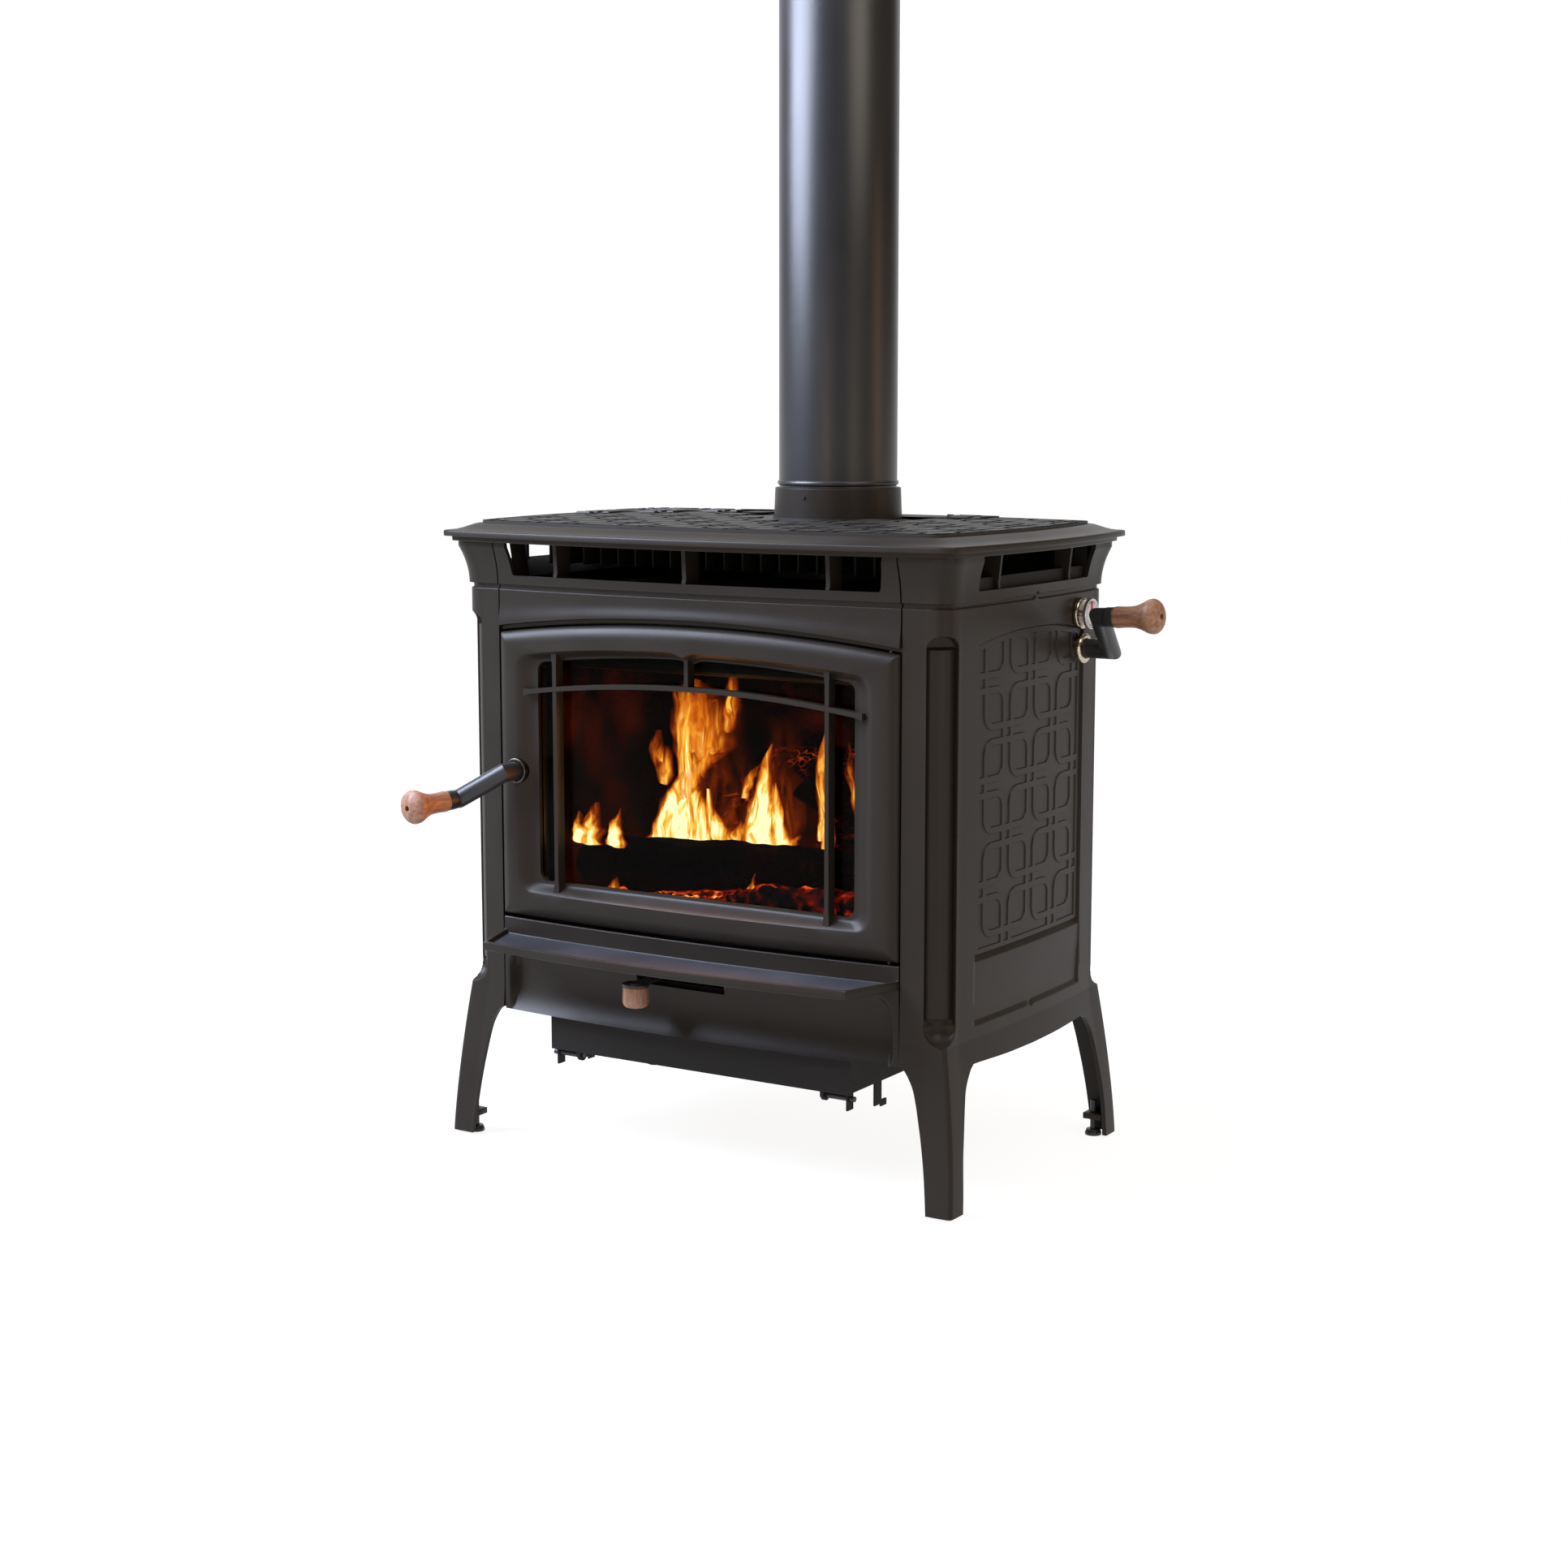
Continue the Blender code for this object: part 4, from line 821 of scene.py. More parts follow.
# The casting's grid: closer steps where its surface bends, the same on both sides of its middle
HALF_STEPS = [0.0009, 0.0025, 0.0045, 0.0065, 0.1375, 0.1386, 0.1392, 0.1399, PANEL_Y, 0.1445]
HALF_STEPS += [0.151, 0.16, 0.17]
SIDE_STEPS = sorted([-y for y in HALF_STEPS] + spread(-0.13, 0.13, 20) + HALF_STEPS)
FRONT_STEPS = (SEAM_X, 0.292, 0.298, 0.305, 0.312, 0.317)
STATIONS = [("front", x, -1) for x in FRONT_STEPS] + [("corner", t, -1) for t in TURN]
STATIONS += [("side", y, 0) for y in SIDE_STEPS] + [("corner", t, 1) for t in TURN[::-1]]
STATIONS += [("front", x, 1) for x in FRONT_STEPS[::-1]]
CASTING_ROWS = [LEG_BOTTOM, LEG_BOTTOM + 0.0008] + spread(0.01, 0.18, 17) + [0.188, 0.194]
CASTING_ROWS += spread(0.199, 0.235, 36) + [0.245, 0.27, 0.288] + spread(0.2885, 0.2995, 12)
CASTING_ROWS += spread(0.32, 0.6, 7) + [0.62, 0.635, 0.645, 0.65] + spread(0.653, PANEL_HIGH - 0.002, 9)
CASTING_ROWS += spread(PANEL_HIGH - 0.0016, 0.6825, 18) + [0.686, 0.692, 0.7, 0.706, 0.709]
CASTING_ROWS += spread(0.7102, 0.7122, 4) + [0.714] + spread(0.7158, 0.7178, 4) + [0.7205, 0.724]
CASTING_ROWS += spread(0.7285, 0.7605, 10) + spread(0.7618, 0.7634, 3) + [BODY_TOP - 0.0008, BODY_TOP]

LEG_FRONT_EDGE = [
    (0.289, 0.175), (0.299, 0.1694), (0.3098, 0.1516), (0.3155, 0.1331), (0.3196, 0.1145), (0.3255, 0.085),
    (0.3315, 0.045), (0.3371, -0.01)
]
LEG_SIDE_EDGE = [
    (0.0, 0.168), (0.07, 0.1689), (0.14, 0.1715), (0.1495, 0.17), (0.1577, 0.1635), (0.169, 0.1482),
    (0.1755, 0.1304), (0.1846, 0.0939), (0.1916, 0.0569), (0.1966, -0.01)
]


def notch(half_low, half_high, low, high, radius):
    """A grille opening: wider at its top, with round lower corners."""
    line = [(half_high, high), (half_low, low), (-half_low, low), (-half_high, high)]
    return [tuple(point) for point in rounded(line, radius, 5)]


def casting_cutters(side):
    """What is cut from a side casting: below its legs, its grille and, on the right, two fittings' holes."""
    half = curve_through(LEG_SIDE_EDGE, 5)
    arch = [(point.x, point.y) for point in half] + [(-point.x, point.y) for point in half[:0:-1]]
    leg = [(side * point.x, point.y) for point in curve_through(LEG_FRONT_EDGE, 5)]
    outline = [(side * 0.25, -0.011), (side * 0.25, 0.175)] + leg
    depth = sorted((side * 0.3, side * 0.42))
    cutters = [prism(arch, *depth, "x"), prism(outline, -0.28, -0.16, "y"), prism(outline, 0.16, 0.28, "y")]
    cutters.append(prism(notch(0.1445, 0.1482, GRILLE_Z, BODY_TOP + 0.004, 0.004), *depth, "x"))
    if side > 0:
        for axis in (BYPASS, GAUGE):
            cutters.append(drill(0.0152, -0.05, 0.05, axis, SIDEWAYS, 40))
    return cutters


def casting_ribs(side):
    """The bars of the grille and the lugs inside the legs."""
    bars = bmesh.new()
    low, high = GRILLE_Z - 0.004, BODY_TOP - 0.0006
    line = [(0.3543, low + 0.002), (0.3543, low + 0.0055), (0.3535, low + 0.009)]
    line += [(0.3575, high), (0.3345, high), (0.3345, low)]
    for y in (-0.0926, 0.0926):
        bar_into(bars, [[(side * x, at, z) for x, z in line] for at in (y - 0.0022, y + 0.0022)])
    for end in (-1, 1):
        lug_x = sorted((side * 0.336, side * 0.3615))
        lug_y = sorted((end * 0.1945, end * 0.2195))
        box_into(bars, (lug_x[0], lug_y[0], 0.022), (lug_x[1], lug_y[1], 0.030), 0.0008)
        flank_x = sorted((side * 0.331, side * 0.351))
        flank_y = sorted((end * 0.1462, end * 0.1492))
        box_into(bars, (flank_x[0], flank_y[0], GRILLE_Z), (flank_x[1], flank_y[1], BODY_TOP - 0.0007))
    return bars


def side_casting(name, side):
    def mirrored(face):
        return lambda station, z: Vector((side, 1, 1)) * face(station, z)

    shape = formed_wall(STATIONS, CASTING_ROWS, mirrored(casting_outer), mirrored(casting_inner))
    bmesh.ops.triangulate(shape, faces=shape.faces)
    made = piece(name + "_cast", shape, [ENAMEL], "stove", [name])
    cut(made, casting_cutters(side))
    piece(name + "_ribs", casting_ribs(side), [ENAMEL], "stove")
    edge_half = PANEL_Y - 0.0016
    edge = [(a, PANEL_LOW) for a in spread(-edge_half, edge_half, 24)]
    edge += [(a, PANEL_HIGH - 0.0018 + arch_rise(a)) for a in spread(edge_half, -edge_half, 24)]
    field = 2 * PITCH + HALF_GAP
    borders = [lambda a, b: field - a, lambda a, b: field + a, lambda a, b: b - 0.3050]
    borders.append(lambda a, b: PANEL_HIGH - 0.0085 + arch_rise(a) - b)
    hollows = pockets(4, 6, -1.5 * PITCH, 0.3412, 1 if side > 0 else 0, borders)

    def place(a, b, height):
        return Vector((side * (side_width(a) - PANEL_SINK + height), a, b))

    lines = spread(-edge_half, edge_half, 24)[1:-1]
    relief = relief_plate(edge, hollows, 0.0013, 0.0016, place, lines)
    piece(name + "_relief", relief, [ENAMEL], "stove")


side_casting("right_side_casting", 1)
side_casting("left_side_casting", -1)


# Upper front panel, valance and ash lip


def panel_arch(x):
    return ARCH_Z - ARCH_DROP * (x / PANEL_HALF) ** 2


def upper_height(x, z):
    """Grid rows below the groove squeeze up over the arch."""
    share = max(0.0, (0.71 - z) / 0.03)
    return z if share == 0 else 0.71 - share * (0.71 - panel_arch(x))


def upper_outer(x, z):
    share = max(0.0, (0.71 - z) / 0.03)
    drip = 0.0032 * smooth(0.25, 1.0, share) ** 1.5
    return Vector((x, -front_depth(x) - cove(z) - drip, upper_height(x, z)))


def upper_inner(x, z):
    wall = 0.012 if z < 0.7 else WALL
    return Vector((x, -front_depth(x) - max(cove(z), 0) + wall, upper_height(x, z)))


UPPER_ROWS = spread(0.68, 0.7055, 12) + [0.709] + [z for z in CASTING_ROWS if z > 0.7101]
COLUMNS = spread(-PANEL_HALF, PANEL_HALF, 60)
shape = formed_wall(COLUMNS, UPPER_ROWS, upper_outer, upper_inner)
bmesh.ops.triangulate(shape, faces=shape.faces)
upper = piece("upper_panel_cast", shape, [ENAMEL], "stove", ["upper_front_panel"])
cut(upper, [prism(notch(0.265, 0.2722, GRILLE_Z, BODY_TOP + 0.004, 0.004), -0.3, -0.1, "y")])
shape = bmesh.new()
for x in (-0.1964, 0, 0.1964):
    near = -front_depth(x)
    line = [(-0.0005, GRILLE_Z - 0.002), (-0.0005, GRILLE_Z + 0.002), (0.001, GRILLE_Z + 0.006)]
    line += [(-0.0015, BODY_TOP - 0.0007), (0.028, BODY_TOP - 0.0007), (0.028, GRILLE_Z - 0.002)]
    stretch_into(shape, [(near + y, z) for y, z in line], x - 0.0028, x + 0.0028, "x")
for end in (-1, 1):
    low, high = GRILLE_Z - 0.001, BODY_TOP - 0.0007
    line = [(end * 0.2652, low), (end * 0.2722, high), (end * 0.2762, high), (end * 0.2692, low)]
    stretch_into(shape, line, -0.207, -0.181, "y")
piece("upper_panel_ribs", shape, [ENAMEL], "stove")

shape = bmesh.new()
box_into(shape, (-0.262, -0.168, 0.7786), (0.262, -0.108, 0.7855), 0.0006)
for i in range(-2, 18):
    x = -0.19 + 0.0262 * i
    box_into(shape, (x - 0.0012, -0.168, 0.742), (x + 0.0012, -0.108, 0.7789), 0.0004)
piece("fin_rack", shape, [BLACK_IRON], "stove", ["convection_fins"])
shape = bmesh.new()
for end in (-1, 1):
    line = [(0.3475, 0.7265), (0.3475, 0.7425), (0.34, 0.7425)]
    line += [(0.285, 0.724), (0.285, 0.7225), (0.34, 0.7265)]
    stretch_into(shape, [(end * x, z) for x, z in line], -0.15, 0.15, "y")
piece("side_ledges", shape, [BLACK_IRON], "stove")


def strip_height(x, share):
    low = DOOR_TOP - DOOR_DROP * (x / DOOR_HALF) ** 2 + 0.0024
    return low + (panel_arch(x) - 0.0004 - low) * share


def strip_outer(x, share):
    return Vector((x, 0.0042 + 0.0008 * (share in (0, 1)) - front_depth(x), strip_height(x, share)))


def strip_inner(x, share):
    return Vector((x, 0.012 - front_depth(x), strip_height(x, share)))


shape = formed_wall(COLUMNS, [0, 0.12, 0.88, 1], strip_outer, strip_inner)
piece("arch_strip", shape, [ENAMEL], "stove")

VALANCE_BOTTOM, VALANCE_TOP = (corner.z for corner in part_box("lower_valance"))


def valance_outer(x, z):
    rise = (z - VALANCE_BOTTOM) / (VALANCE_TOP - VALANCE_BOTTOM)
    radius = 0.036
    half = 0.2835
    over_a, over_b = abs(x) - (half - radius), z - (0.262 - radius)
    inside = half - abs(x)
    if over_a > 0 and over_b > 0:
        inside = radius - hypot(over_a, over_b)
    hollow = 0.014 * sin(pi * min(1.0, rise * 1.02) ** 0.85) * smooth(0, 0.008, inside)
    return Vector((x, -front_depth(x) + hollow, z))


def valance_inner(x, z):
    return valance_outer(x, z) + Vector((0, 0.005, 0))


ends = spread(0.2475, 0.2845, 18) + [0.287, PANEL_HALF]
across = [-x for x in ends[::-1]] + spread(-0.24, 0.24, 24) + ends
shape = formed_wall(across, spread(VALANCE_BOTTOM, VALANCE_TOP, 30), valance_outer, valance_inner)
bmesh.ops.triangulate(shape, faces=shape.faces)
valance = piece("valance_cast", shape, [ENAMEL], "stove", ["lower_valance"])
corners = [(-0.081, 0.2445), (-0.081, 0.2305), (0.049, 0.2305), (0.049, 0.2445)]
slot_outline = [tuple(point) for point in rounded(corners, 0.003, 4)]
cut(valance, [prism(slot_outline, -0.26, -0.18, "y")])

TRAY_HALF = 0.263
TRAY_TOP = 0.2755
TRAY_BOTTOM = 0.2645
STRIP_TOP = 0.2925


TRAY_CORNER = -0.289
TRAY_SLANT = (-TRAY_CORNER - 0.0015 - front_depth(PANEL_HALF)) / (PANEL_HALF - TRAY_HALF)


def cut_corner(x):
    return TRAY_CORNER + (abs(x) - TRAY_HALF) * TRAY_SLANT


def tray_front(x):
    if abs(x) <= TRAY_HALF:
        return 0.246 * x * x - 0.306
    return cut_corner(x)


def lip_section(x):
    """A slice of the strip and tray, with a rounded rim along the front and the cut corners."""
    strip = -front_depth(x)

    def inward(distance):
        line = max(tray_front(x) + distance, cut_corner(x) + distance * hypot(1, TRAY_SLANT))
        return min(line, strip - 0.0014 + distance * 0.01)

    line = [(strip + 0.012, STRIP_TOP), (strip + 0.012, TRAY_BOTTOM), (inward(0.0014), TRAY_BOTTOM)]
    line += [(inward(0.0004), TRAY_BOTTOM + 0.0007), (inward(0), TRAY_BOTTOM + 0.0018)]
    line += [(inward(0), TRAY_TOP - 0.0012), (inward(0.0004), TRAY_TOP - 0.0003)]
    line += [(inward(0.0012), TRAY_TOP), (inward(0.0036), TRAY_TOP), (inward(0.0044), TRAY_TOP - 0.0006)]
    floor = TRAY_TOP - 0.0045 * smooth(0.2875, 0.2835, abs(x))
    line += [(inward(0.0058), floor), (strip - 0.0012, floor), (strip - 0.0003, floor + 0.0009)]
    line += [(strip, floor + 0.003), (strip, STRIP_TOP - 0.001), (strip + 0.0008, STRIP_TOP)]
    return [(x, y, z) for y, z in line]


ends = spread(0.2645, PANEL_HALF, 24)
shape = loft([lip_section(x) for x in [-x for x in ends[::-1]] + spread(-TRAY_HALF, TRAY_HALF, 100) + ends])
lip = piece("ash_lip_cast", shape, [ENAMEL, STIPPLE], "stove", ["ash_lip"], 30)
for polygon in lip.data.polygons:
    if polygon.normal.z > 0.9 and polygon.center.z < TRAY_TOP - 0.003:
        polygon.material_index = 1


# Top plate and flue


def plate_outline(inset, z, steps=48):
    half_x, half_y = PLATE_X - inset, PLATE_Y - inset
    points = []
    corner = 0.004
    for x in spread(-half_x + corner, half_x - corner, steps):
        points.append((x, -half_y - PLATE_BOW_FRONT * (1 - (x / half_x) ** 2), z))
    for y in spread(-half_y + corner, half_y - corner, steps // 2):
        points.append((half_x + PLATE_BOW_SIDE * (1 - (y / half_y) ** 2), y, z))
    return points + [(-x, -y, z) for x, y, z in points]


PLATE_STEPS = [
    (0.02, 0.786), (0.016, PLATE_BOTTOM), (0.0082, PLATE_BOTTOM), (0.0075, PLATE_BOTTOM + 0.0007),
    (0.0075, 0.776), (0.0007, 0.776), (0, 0.7767), (0, 0.7818), (0.0005, 0.7829), (0.0016, 0.7835),
    (0.006, 0.7838), (0.012, 0.7847), (0.018, 0.7866), (0.024, 0.7893), (0.029, 0.7914), (0.0325, 0.7922),
    (0.0338, 0.7918), (0.0352, 0.7918), (0.04, 0.7918)
]
shape = loft([plate_outline(inset, z) for inset, z in PLATE_STEPS])
bmesh.ops.triangulate(shape, faces=shape.faces)
plate = piece("top_plate_cast", shape, [ENAMEL], "stove", ["top_plate"], 42)
cut(plate, [drill(FLUE_HOLE_R, 0.75, 0.81, FLUE, UP, 96)])
PANEL_INSET = 0.0353
edge = [(x, y) for x, y, _ in plate_outline(PANEL_INSET, 0)]


def plate_border(a, b):
    """How far a point is inside the border of the pattern on the top plate."""
    half_x, half_y = PLATE_X - PANEL_INSET - 0.007, PLATE_Y - PANEL_INSET - 0.007
    from_front = half_y + PLATE_BOW_FRONT * (1 - (a / half_x) ** 2) - abs(b)
    from_side = half_x + PLATE_BOW_SIDE * (1 - (b / half_y) ** 2) - abs(a)
    return min(from_front, from_side)


def off_collar(outline):
    return all(hypot(a - FLUE.x, b - FLUE.y) > 0.089 for a, b in outline)


def on_plate(a, b, height):
    return Vector((a, b, PLATE_TOP + height))


found = pockets(12, 9, -5.5 * PITCH, -4 * PITCH, 0, [plate_border])
hollows = [outline for outline in found if off_collar(outline)]
opening = arc(FLUE.x, FLUE.y, FLUE_HOLE_R, 0, tau, 97)[:-1]
relief = relief_plate(edge, hollows, 0.0021, 0.0035, on_plate, openings=[opening])
piece("top_plate_relief", relief, [TOP_ENAMEL], "stove")

COLLAR_TOP = 0.833
COLLAR = [
    (0.0775, COLLAR_TOP), (0.0811, COLLAR_TOP), (0.0818, COLLAR_TOP - 0.0008), (0.0826, 0.812),
    (0.0833, 0.796), (0.0834, 0.79), (0.0834, 0.718), (0.069, 0.718), (0.069, 0.795), (0.0775, 0.796),
    (0.0775, COLLAR_TOP)
]
piece("collar_cast", lathe(COLLAR, FLUE, UP, 128), [ENAMEL], "stove", ["flue_collar"])
PIPE_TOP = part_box("flue_pipe")[1].z
# past the pipe's radius, and height: the open end, a rolled bead above the collar, and the lower end
PIPE = [
    (-0.0015, PIPE_TOP), (-0.0002, PIPE_TOP), (0, PIPE_TOP - 0.0003), (0, 0.8428), (0.0008, 0.842),
    (0.0018, 0.8408), (0.002, 0.8392), (0.0018, 0.8376), (0.0006, 0.8366), (-0.0006, 0.836),
    (-0.0006, 0.8335), (0, 0.833), (0, 0.7965), (-0.0015, 0.7965), (-0.0015, PIPE_TOP)
]
PIPE = [(PIPE_R + past, z) for past, z in PIPE]
piece("pipe_painted", lathe(PIPE, FLUE, UP, 128), [PIPE_PAINT], "stove", ["flue_pipe"])


# Door: a frame with a soft chamfer, a dished recess and a grille of thin bars


def window(half, bottom, top, drop, corner, cusp=0.0):
    """A window outline in x and z: an arched top, round corners, and a cusp in the middle of the top."""

    def arch(x):
        return top - drop * (x / half) ** 2 - cusp * exp(-abs(x / 0.0095) ** 1.6)

    x_end = half - corner
    low, high = bottom + corner, arch(x_end) - corner
    points = [(x, bottom) for x in spread(-x_end, x_end, 40)]
    points += arc(x_end, low, corner, -pi / 2, 0, 10)[1:]
    points += [(half, z) for z in spread(low, high, 20)[1:-1]]
    points += arc(x_end, high, corner, 0, pi / 2, 10)
    points += [(x, arch(x)) for x in spread(x_end, -x_end, 120)[1:-1]]
    points += arc(-x_end, high, corner, pi / 2, pi, 10)
    points += [(-half, z) for z in spread(high, low, 20)[1:-1]]
    points += arc(-x_end, low, corner, pi, 1.5 * pi, 10)[:-1]
    return points


def door_ring(half, bottom, top, drop, corner, depth, cusp=0.0):
    place = depth if callable(depth) else lambda x: depth
    return [(x, place(x), z) for x, z in window(half, bottom, top, drop, corner, cusp)]


def door_face(inset, proud):
    half = DOOR_HALF - inset
    drop = DOOR_DROP * (half / DOOR_HALF) ** 2
    face = lambda x: -front_depth(x) - proud
    return door_ring(half, DOOR_BOTTOM + inset, DOOR_TOP - inset, drop, 0.0015, face)


def grille_arch(x):
    return 0.6046 - 0.29 * x * x


GLASS_PLANE = -0.2125
RETURN_PLANE = -0.2071
GRILLE_BACK = -0.2074
CUSP = 0.0052
rings = [door_ring(DOOR_HALF, DOOR_BOTTOM, DOOR_TOP, DOOR_DROP, 0.0015, DOOR_BACK)]
for share in spread(0, 1, 9):
    rings.append(door_face(0.018 * (1 - cos(share * pi / 2)), 0.011 * sin(share * pi / 2) - 0.003))
# the recess runs from its edge on the door's face to the window: half, bottom, top, drop, corner
RECESS, WINDOW = (0.2592, 0.3295, 0.647, 0.0162, 0.021), (0.23, 0.3445, 0.636, 0.0147, 0.012)
REBATE = (0.24, 0.335, 0.646, 0.016, 0.006)
for share in spread(0, 1, 10):
    sizes = [outer + (inner - outer) * share for outer, inner in zip(RECESS, WINDOW)]
    dish = smooth(-0.08, 0.85, share) - smooth(-0.08, 0.85, 0)
    dished = lambda x, dish=dish: -(front_depth(x) + 0.008) * (1 - dish) + GLASS_PLANE * dish
    rings.append(door_ring(*sizes, dished, CUSP))
rings.append(door_ring(*WINDOW, RETURN_PLANE, CUSP))
rings.append(door_ring(*REBATE, RETURN_PLANE))
rings.append(door_ring(*REBATE, DOOR_BACK))
shape = loft(rings, closed=True)
bmesh.ops.triangulate(shape, faces=shape.faces)
door = piece("door_cast", shape, [ENAMEL], "door", ["door_frame"], 35)
hole = [(0, -0.02), (0.0071, -0.02), (0.0071, 0.0002), (0.0161, 0.0002), (0.0161, 0.04), (0, 0.04)]
seat = DOOR_HANDLE - OUTWARD * 0.0235
cut(door, [lathe(hole, seat, OUTWARD, 64)])
cut(door, [drill(0.0075, -0.05, 0.01, seat, OUTWARD, 48)])
shape = bmesh.new()
for x, low, high in ((-0.1975, 0.3335, 0.6375), (0.1975, 0.3335, 0.6375), (0, 0.6, 0.6435)):
    face = -0.2225 if x else -0.2228
    rows = []
    for z in spread(low, high, 16):
        flare = 0.0016 * (smooth(0.012, 0.0, z - low) * (x != 0) + smooth(0.010, 0.0, high - z))
        wide = 0.0028 + flare
        corners = [(-wide, face - flare * 0.6), (wide, face - flare * 0.6)]
        corners += [(wide * 0.8, GRILLE_BACK), (-wide * 0.8, GRILLE_BACK)]
        rows.append([(x + off, y, z) for off, y in corners])
    bar_into(shape, rows)
rows = []
for x in spread(-0.2455, 0.2455, 60):
    flare = 0.0018 * smooth(0.010, 0.0, 0.2455 - abs(x))
    top = grille_arch(x)
    rows.append([(x, -0.2231, top - 0.006 - flare), (x, -0.2231, top + flare)])
    rows[-1] += [(x, -0.2085, top - 0.0006), (x, -0.2085, top - 0.0054)]
bar_into(shape, rows)
edges = [edge for edge in shape.edges if edge.calc_length() > 0.004 and len(edge.link_faces) == 2]
edges = [edge for edge in edges if edge.calc_face_angle(0) > 1.2]
bmesh.ops.bevel(shape, geom=edges, offset=0.0004, segments=2, affect="EDGES")
piece("door_grille", shape, [ENAMEL], "door", (), 30)
frame["nodes"]["door_glass"].data.materials[0] = GLASS


# Cranked handles

CRANK_R = 0.0119
TUBE_END = 0.0105
FERRULE = 0.012
JOINT_GAP = 0.0003
GRIP_OUTSIDE = [
    (0.0036, 0.0634), (0.0075, 0.0629), (0.0135, 0.061), (0.018, 0.0582), (0.0205, 0.0552),
    (0.0213, 0.0522), (0.0205, 0.047), (0.018, 0.0415), (0.0155, 0.035), (0.0136, 0.0285), (0.0129, 0.021),
    (0.0128, 0.012), (0.0132, 0.0035), (0.0129, 0.0008), (0.0118, 0)
]


def swept(points, radius, sides=56):
    """A round bar along straight runs, mitred where they meet, with slightly rounded ends."""
    points = [Vector(point) for point in points]
    runs = [(b - a).normalized() for a, b in zip(points, points[1:])]
    side = runs[0].orthogonal().normalized()
    over = runs[0].cross(side)
    spokes = [(side * cos(t) + over * sin(t)) * radius for t in spread(0, tau, sides)[:-1]]
    rounding = 0.0009
    rings = []
    for inset in (rounding, 0.0):
        centre = points[0] + runs[0] * (rounding - inset)
        rings.append([centre + spoke * (1 - inset / radius) for spoke in spokes])
    for corner, before, after in zip(points[1:-1], runs, runs[1:]):
        plane = (before + after).normalized()
        rings.append([corner + spoke - before * (spoke.dot(plane) / before.dot(plane)) for spoke in spokes])
        bend = before.rotation_difference(after)
        spokes = [bend @ spoke for spoke in spokes]
        rings.append([corner + after * (radius * 1.6) + spoke for spoke in spokes])
    for inset in (0.0, rounding):
        centre = points[-1] - runs[-1] * (rounding - inset)
        rings.append([centre + spoke * (1 - inset / radius) for spoke in spokes])
    return loft(rings)


def crank(prefix, hub, elbow, corner, out, body):
    """A bent bar from its hub, with a ferrule and a walnut grip at its end."""
    name, ferrule, grip = prefix + "_crank", prefix + "_ferrule", prefix + "_grip"
    shape = swept([hub, elbow, corner, corner + out * TUBE_END], CRANK_R)
    piece(name + "_bar", shape, [BLACK_STEEL], body, [name])
    start = corner + out * (TUBE_END + JOINT_GAP)
    top = FERRULE - JOINT_GAP
    profile = [(0, 0), (0.0118, 0), (0.0124, 0.0006), (0.0124, FERRULE - 0.001), (0.0118, top), (0, top)]
    piece(ferrule + "_turned", lathe(profile, start, out), [BLACK_STEEL], body, [ferrule])
    start = corner + out * (TUBE_END + FERRULE + JOINT_GAP)
    outside = [(p.x, p.y) for p in curve_through([(r, h) for r, h in GRIP_OUTSIDE], 4)]
    profile = [(0, 0.0539), (0.0034, 0.054)] + outside + [(0, 0)]
    wood = wood_material(grip + "_wood", out)
    piece(grip + "_turned", lathe(profile, start, out, 96), [wood], body, [grip])


HANDLE_CORNER = Vector((-0.3222, -0.2585, 0.4475))
HANDLE_OUT = Vector((-0.165, -1, -0.03)).normalized()
BYPASS_CORNER = Vector((0.4062, 0.0715, 0.6854))
BYPASS_OUT = Vector((1, -0.11, 0.07)).normalized()
hub, elbow = (DOOR_HANDLE + OUTWARD * reach for reach in (-0.0012, 0.0245))
crank("handle", hub, elbow, HANDLE_CORNER, HANDLE_OUT, "door_handle")
hub, elbow = (BYPASS + SIDEWAYS * reach for reach in (-0.0012, 0.04))
crank("bypass", hub, elbow, BYPASS_CORNER, BYPASS_OUT, "bypass_damper")


def spindle(name, hub, inward, length, body):
    """The thin shaft behind a crank."""
    profile = [(0, 0.001), (0.0062, 0.001), (0.0062, length - 0.0006), (0.0056, length), (0, length)]
    piece(name, lathe(profile, hub, inward, 32), [BLACK_STEEL], body)


spindle("handle_spindle", DOOR_HANDLE, -OUTWARD, 0.0455, "door_handle")
spindle("bypass_spindle", BYPASS, -SIDEWAYS, 0.5865, "bypass_damper")

BUSH = [
    (0.0129, 0.0222), (0.0126, 0.0228), (0.0126, 0.0192), (0.0068, 0.019), (0.0068, 0), (0.0158, 0),
    (0.0158, 0.0216), (0.0156, 0.0224), (0.015, 0.0228), (0.0138, 0.0229), (0.0129, 0.0222)
]
bush = lathe(BUSH, DOOR_HANDLE - OUTWARD * 0.022, OUTWARD)
piece("handle_bush_turned", bush, [DARK_NICKEL], "door", ["handle_bush"])
SPIGOT = [
    (0.0126, 0.0070), (0.0128, 0.0075), (0.0158, 0.0075), (0.0170, 0.0071), (0.0182, 0.0062),
    (0.0187, 0.005), (0.0188, 0.0016), (0.0184, 0.0004), (0.0176, 0), (0.0145, 0), (0.0145, -0.012),
    (0.0126, -0.012), (0.0126, 0.0070)
]
piece("bypass_bush_turned", lathe(SPIGOT, BYPASS, SIDEWAYS), [NICKEL], "stove", ["bypass_bush"])
GAUGE_BUSH = [
    (0.0045, 0.0060), (0.0145, 0.0062), (0.0165, 0.0065), (0.0182, 0.0062), (0.0192, 0.0052),
    (0.0195, 0.004), (0.0195, 0.001), (0.019, 0), (0.0145, 0), (0.0145, -0.012), (0.0045, -0.012),
    (0.0045, 0.0060)
]
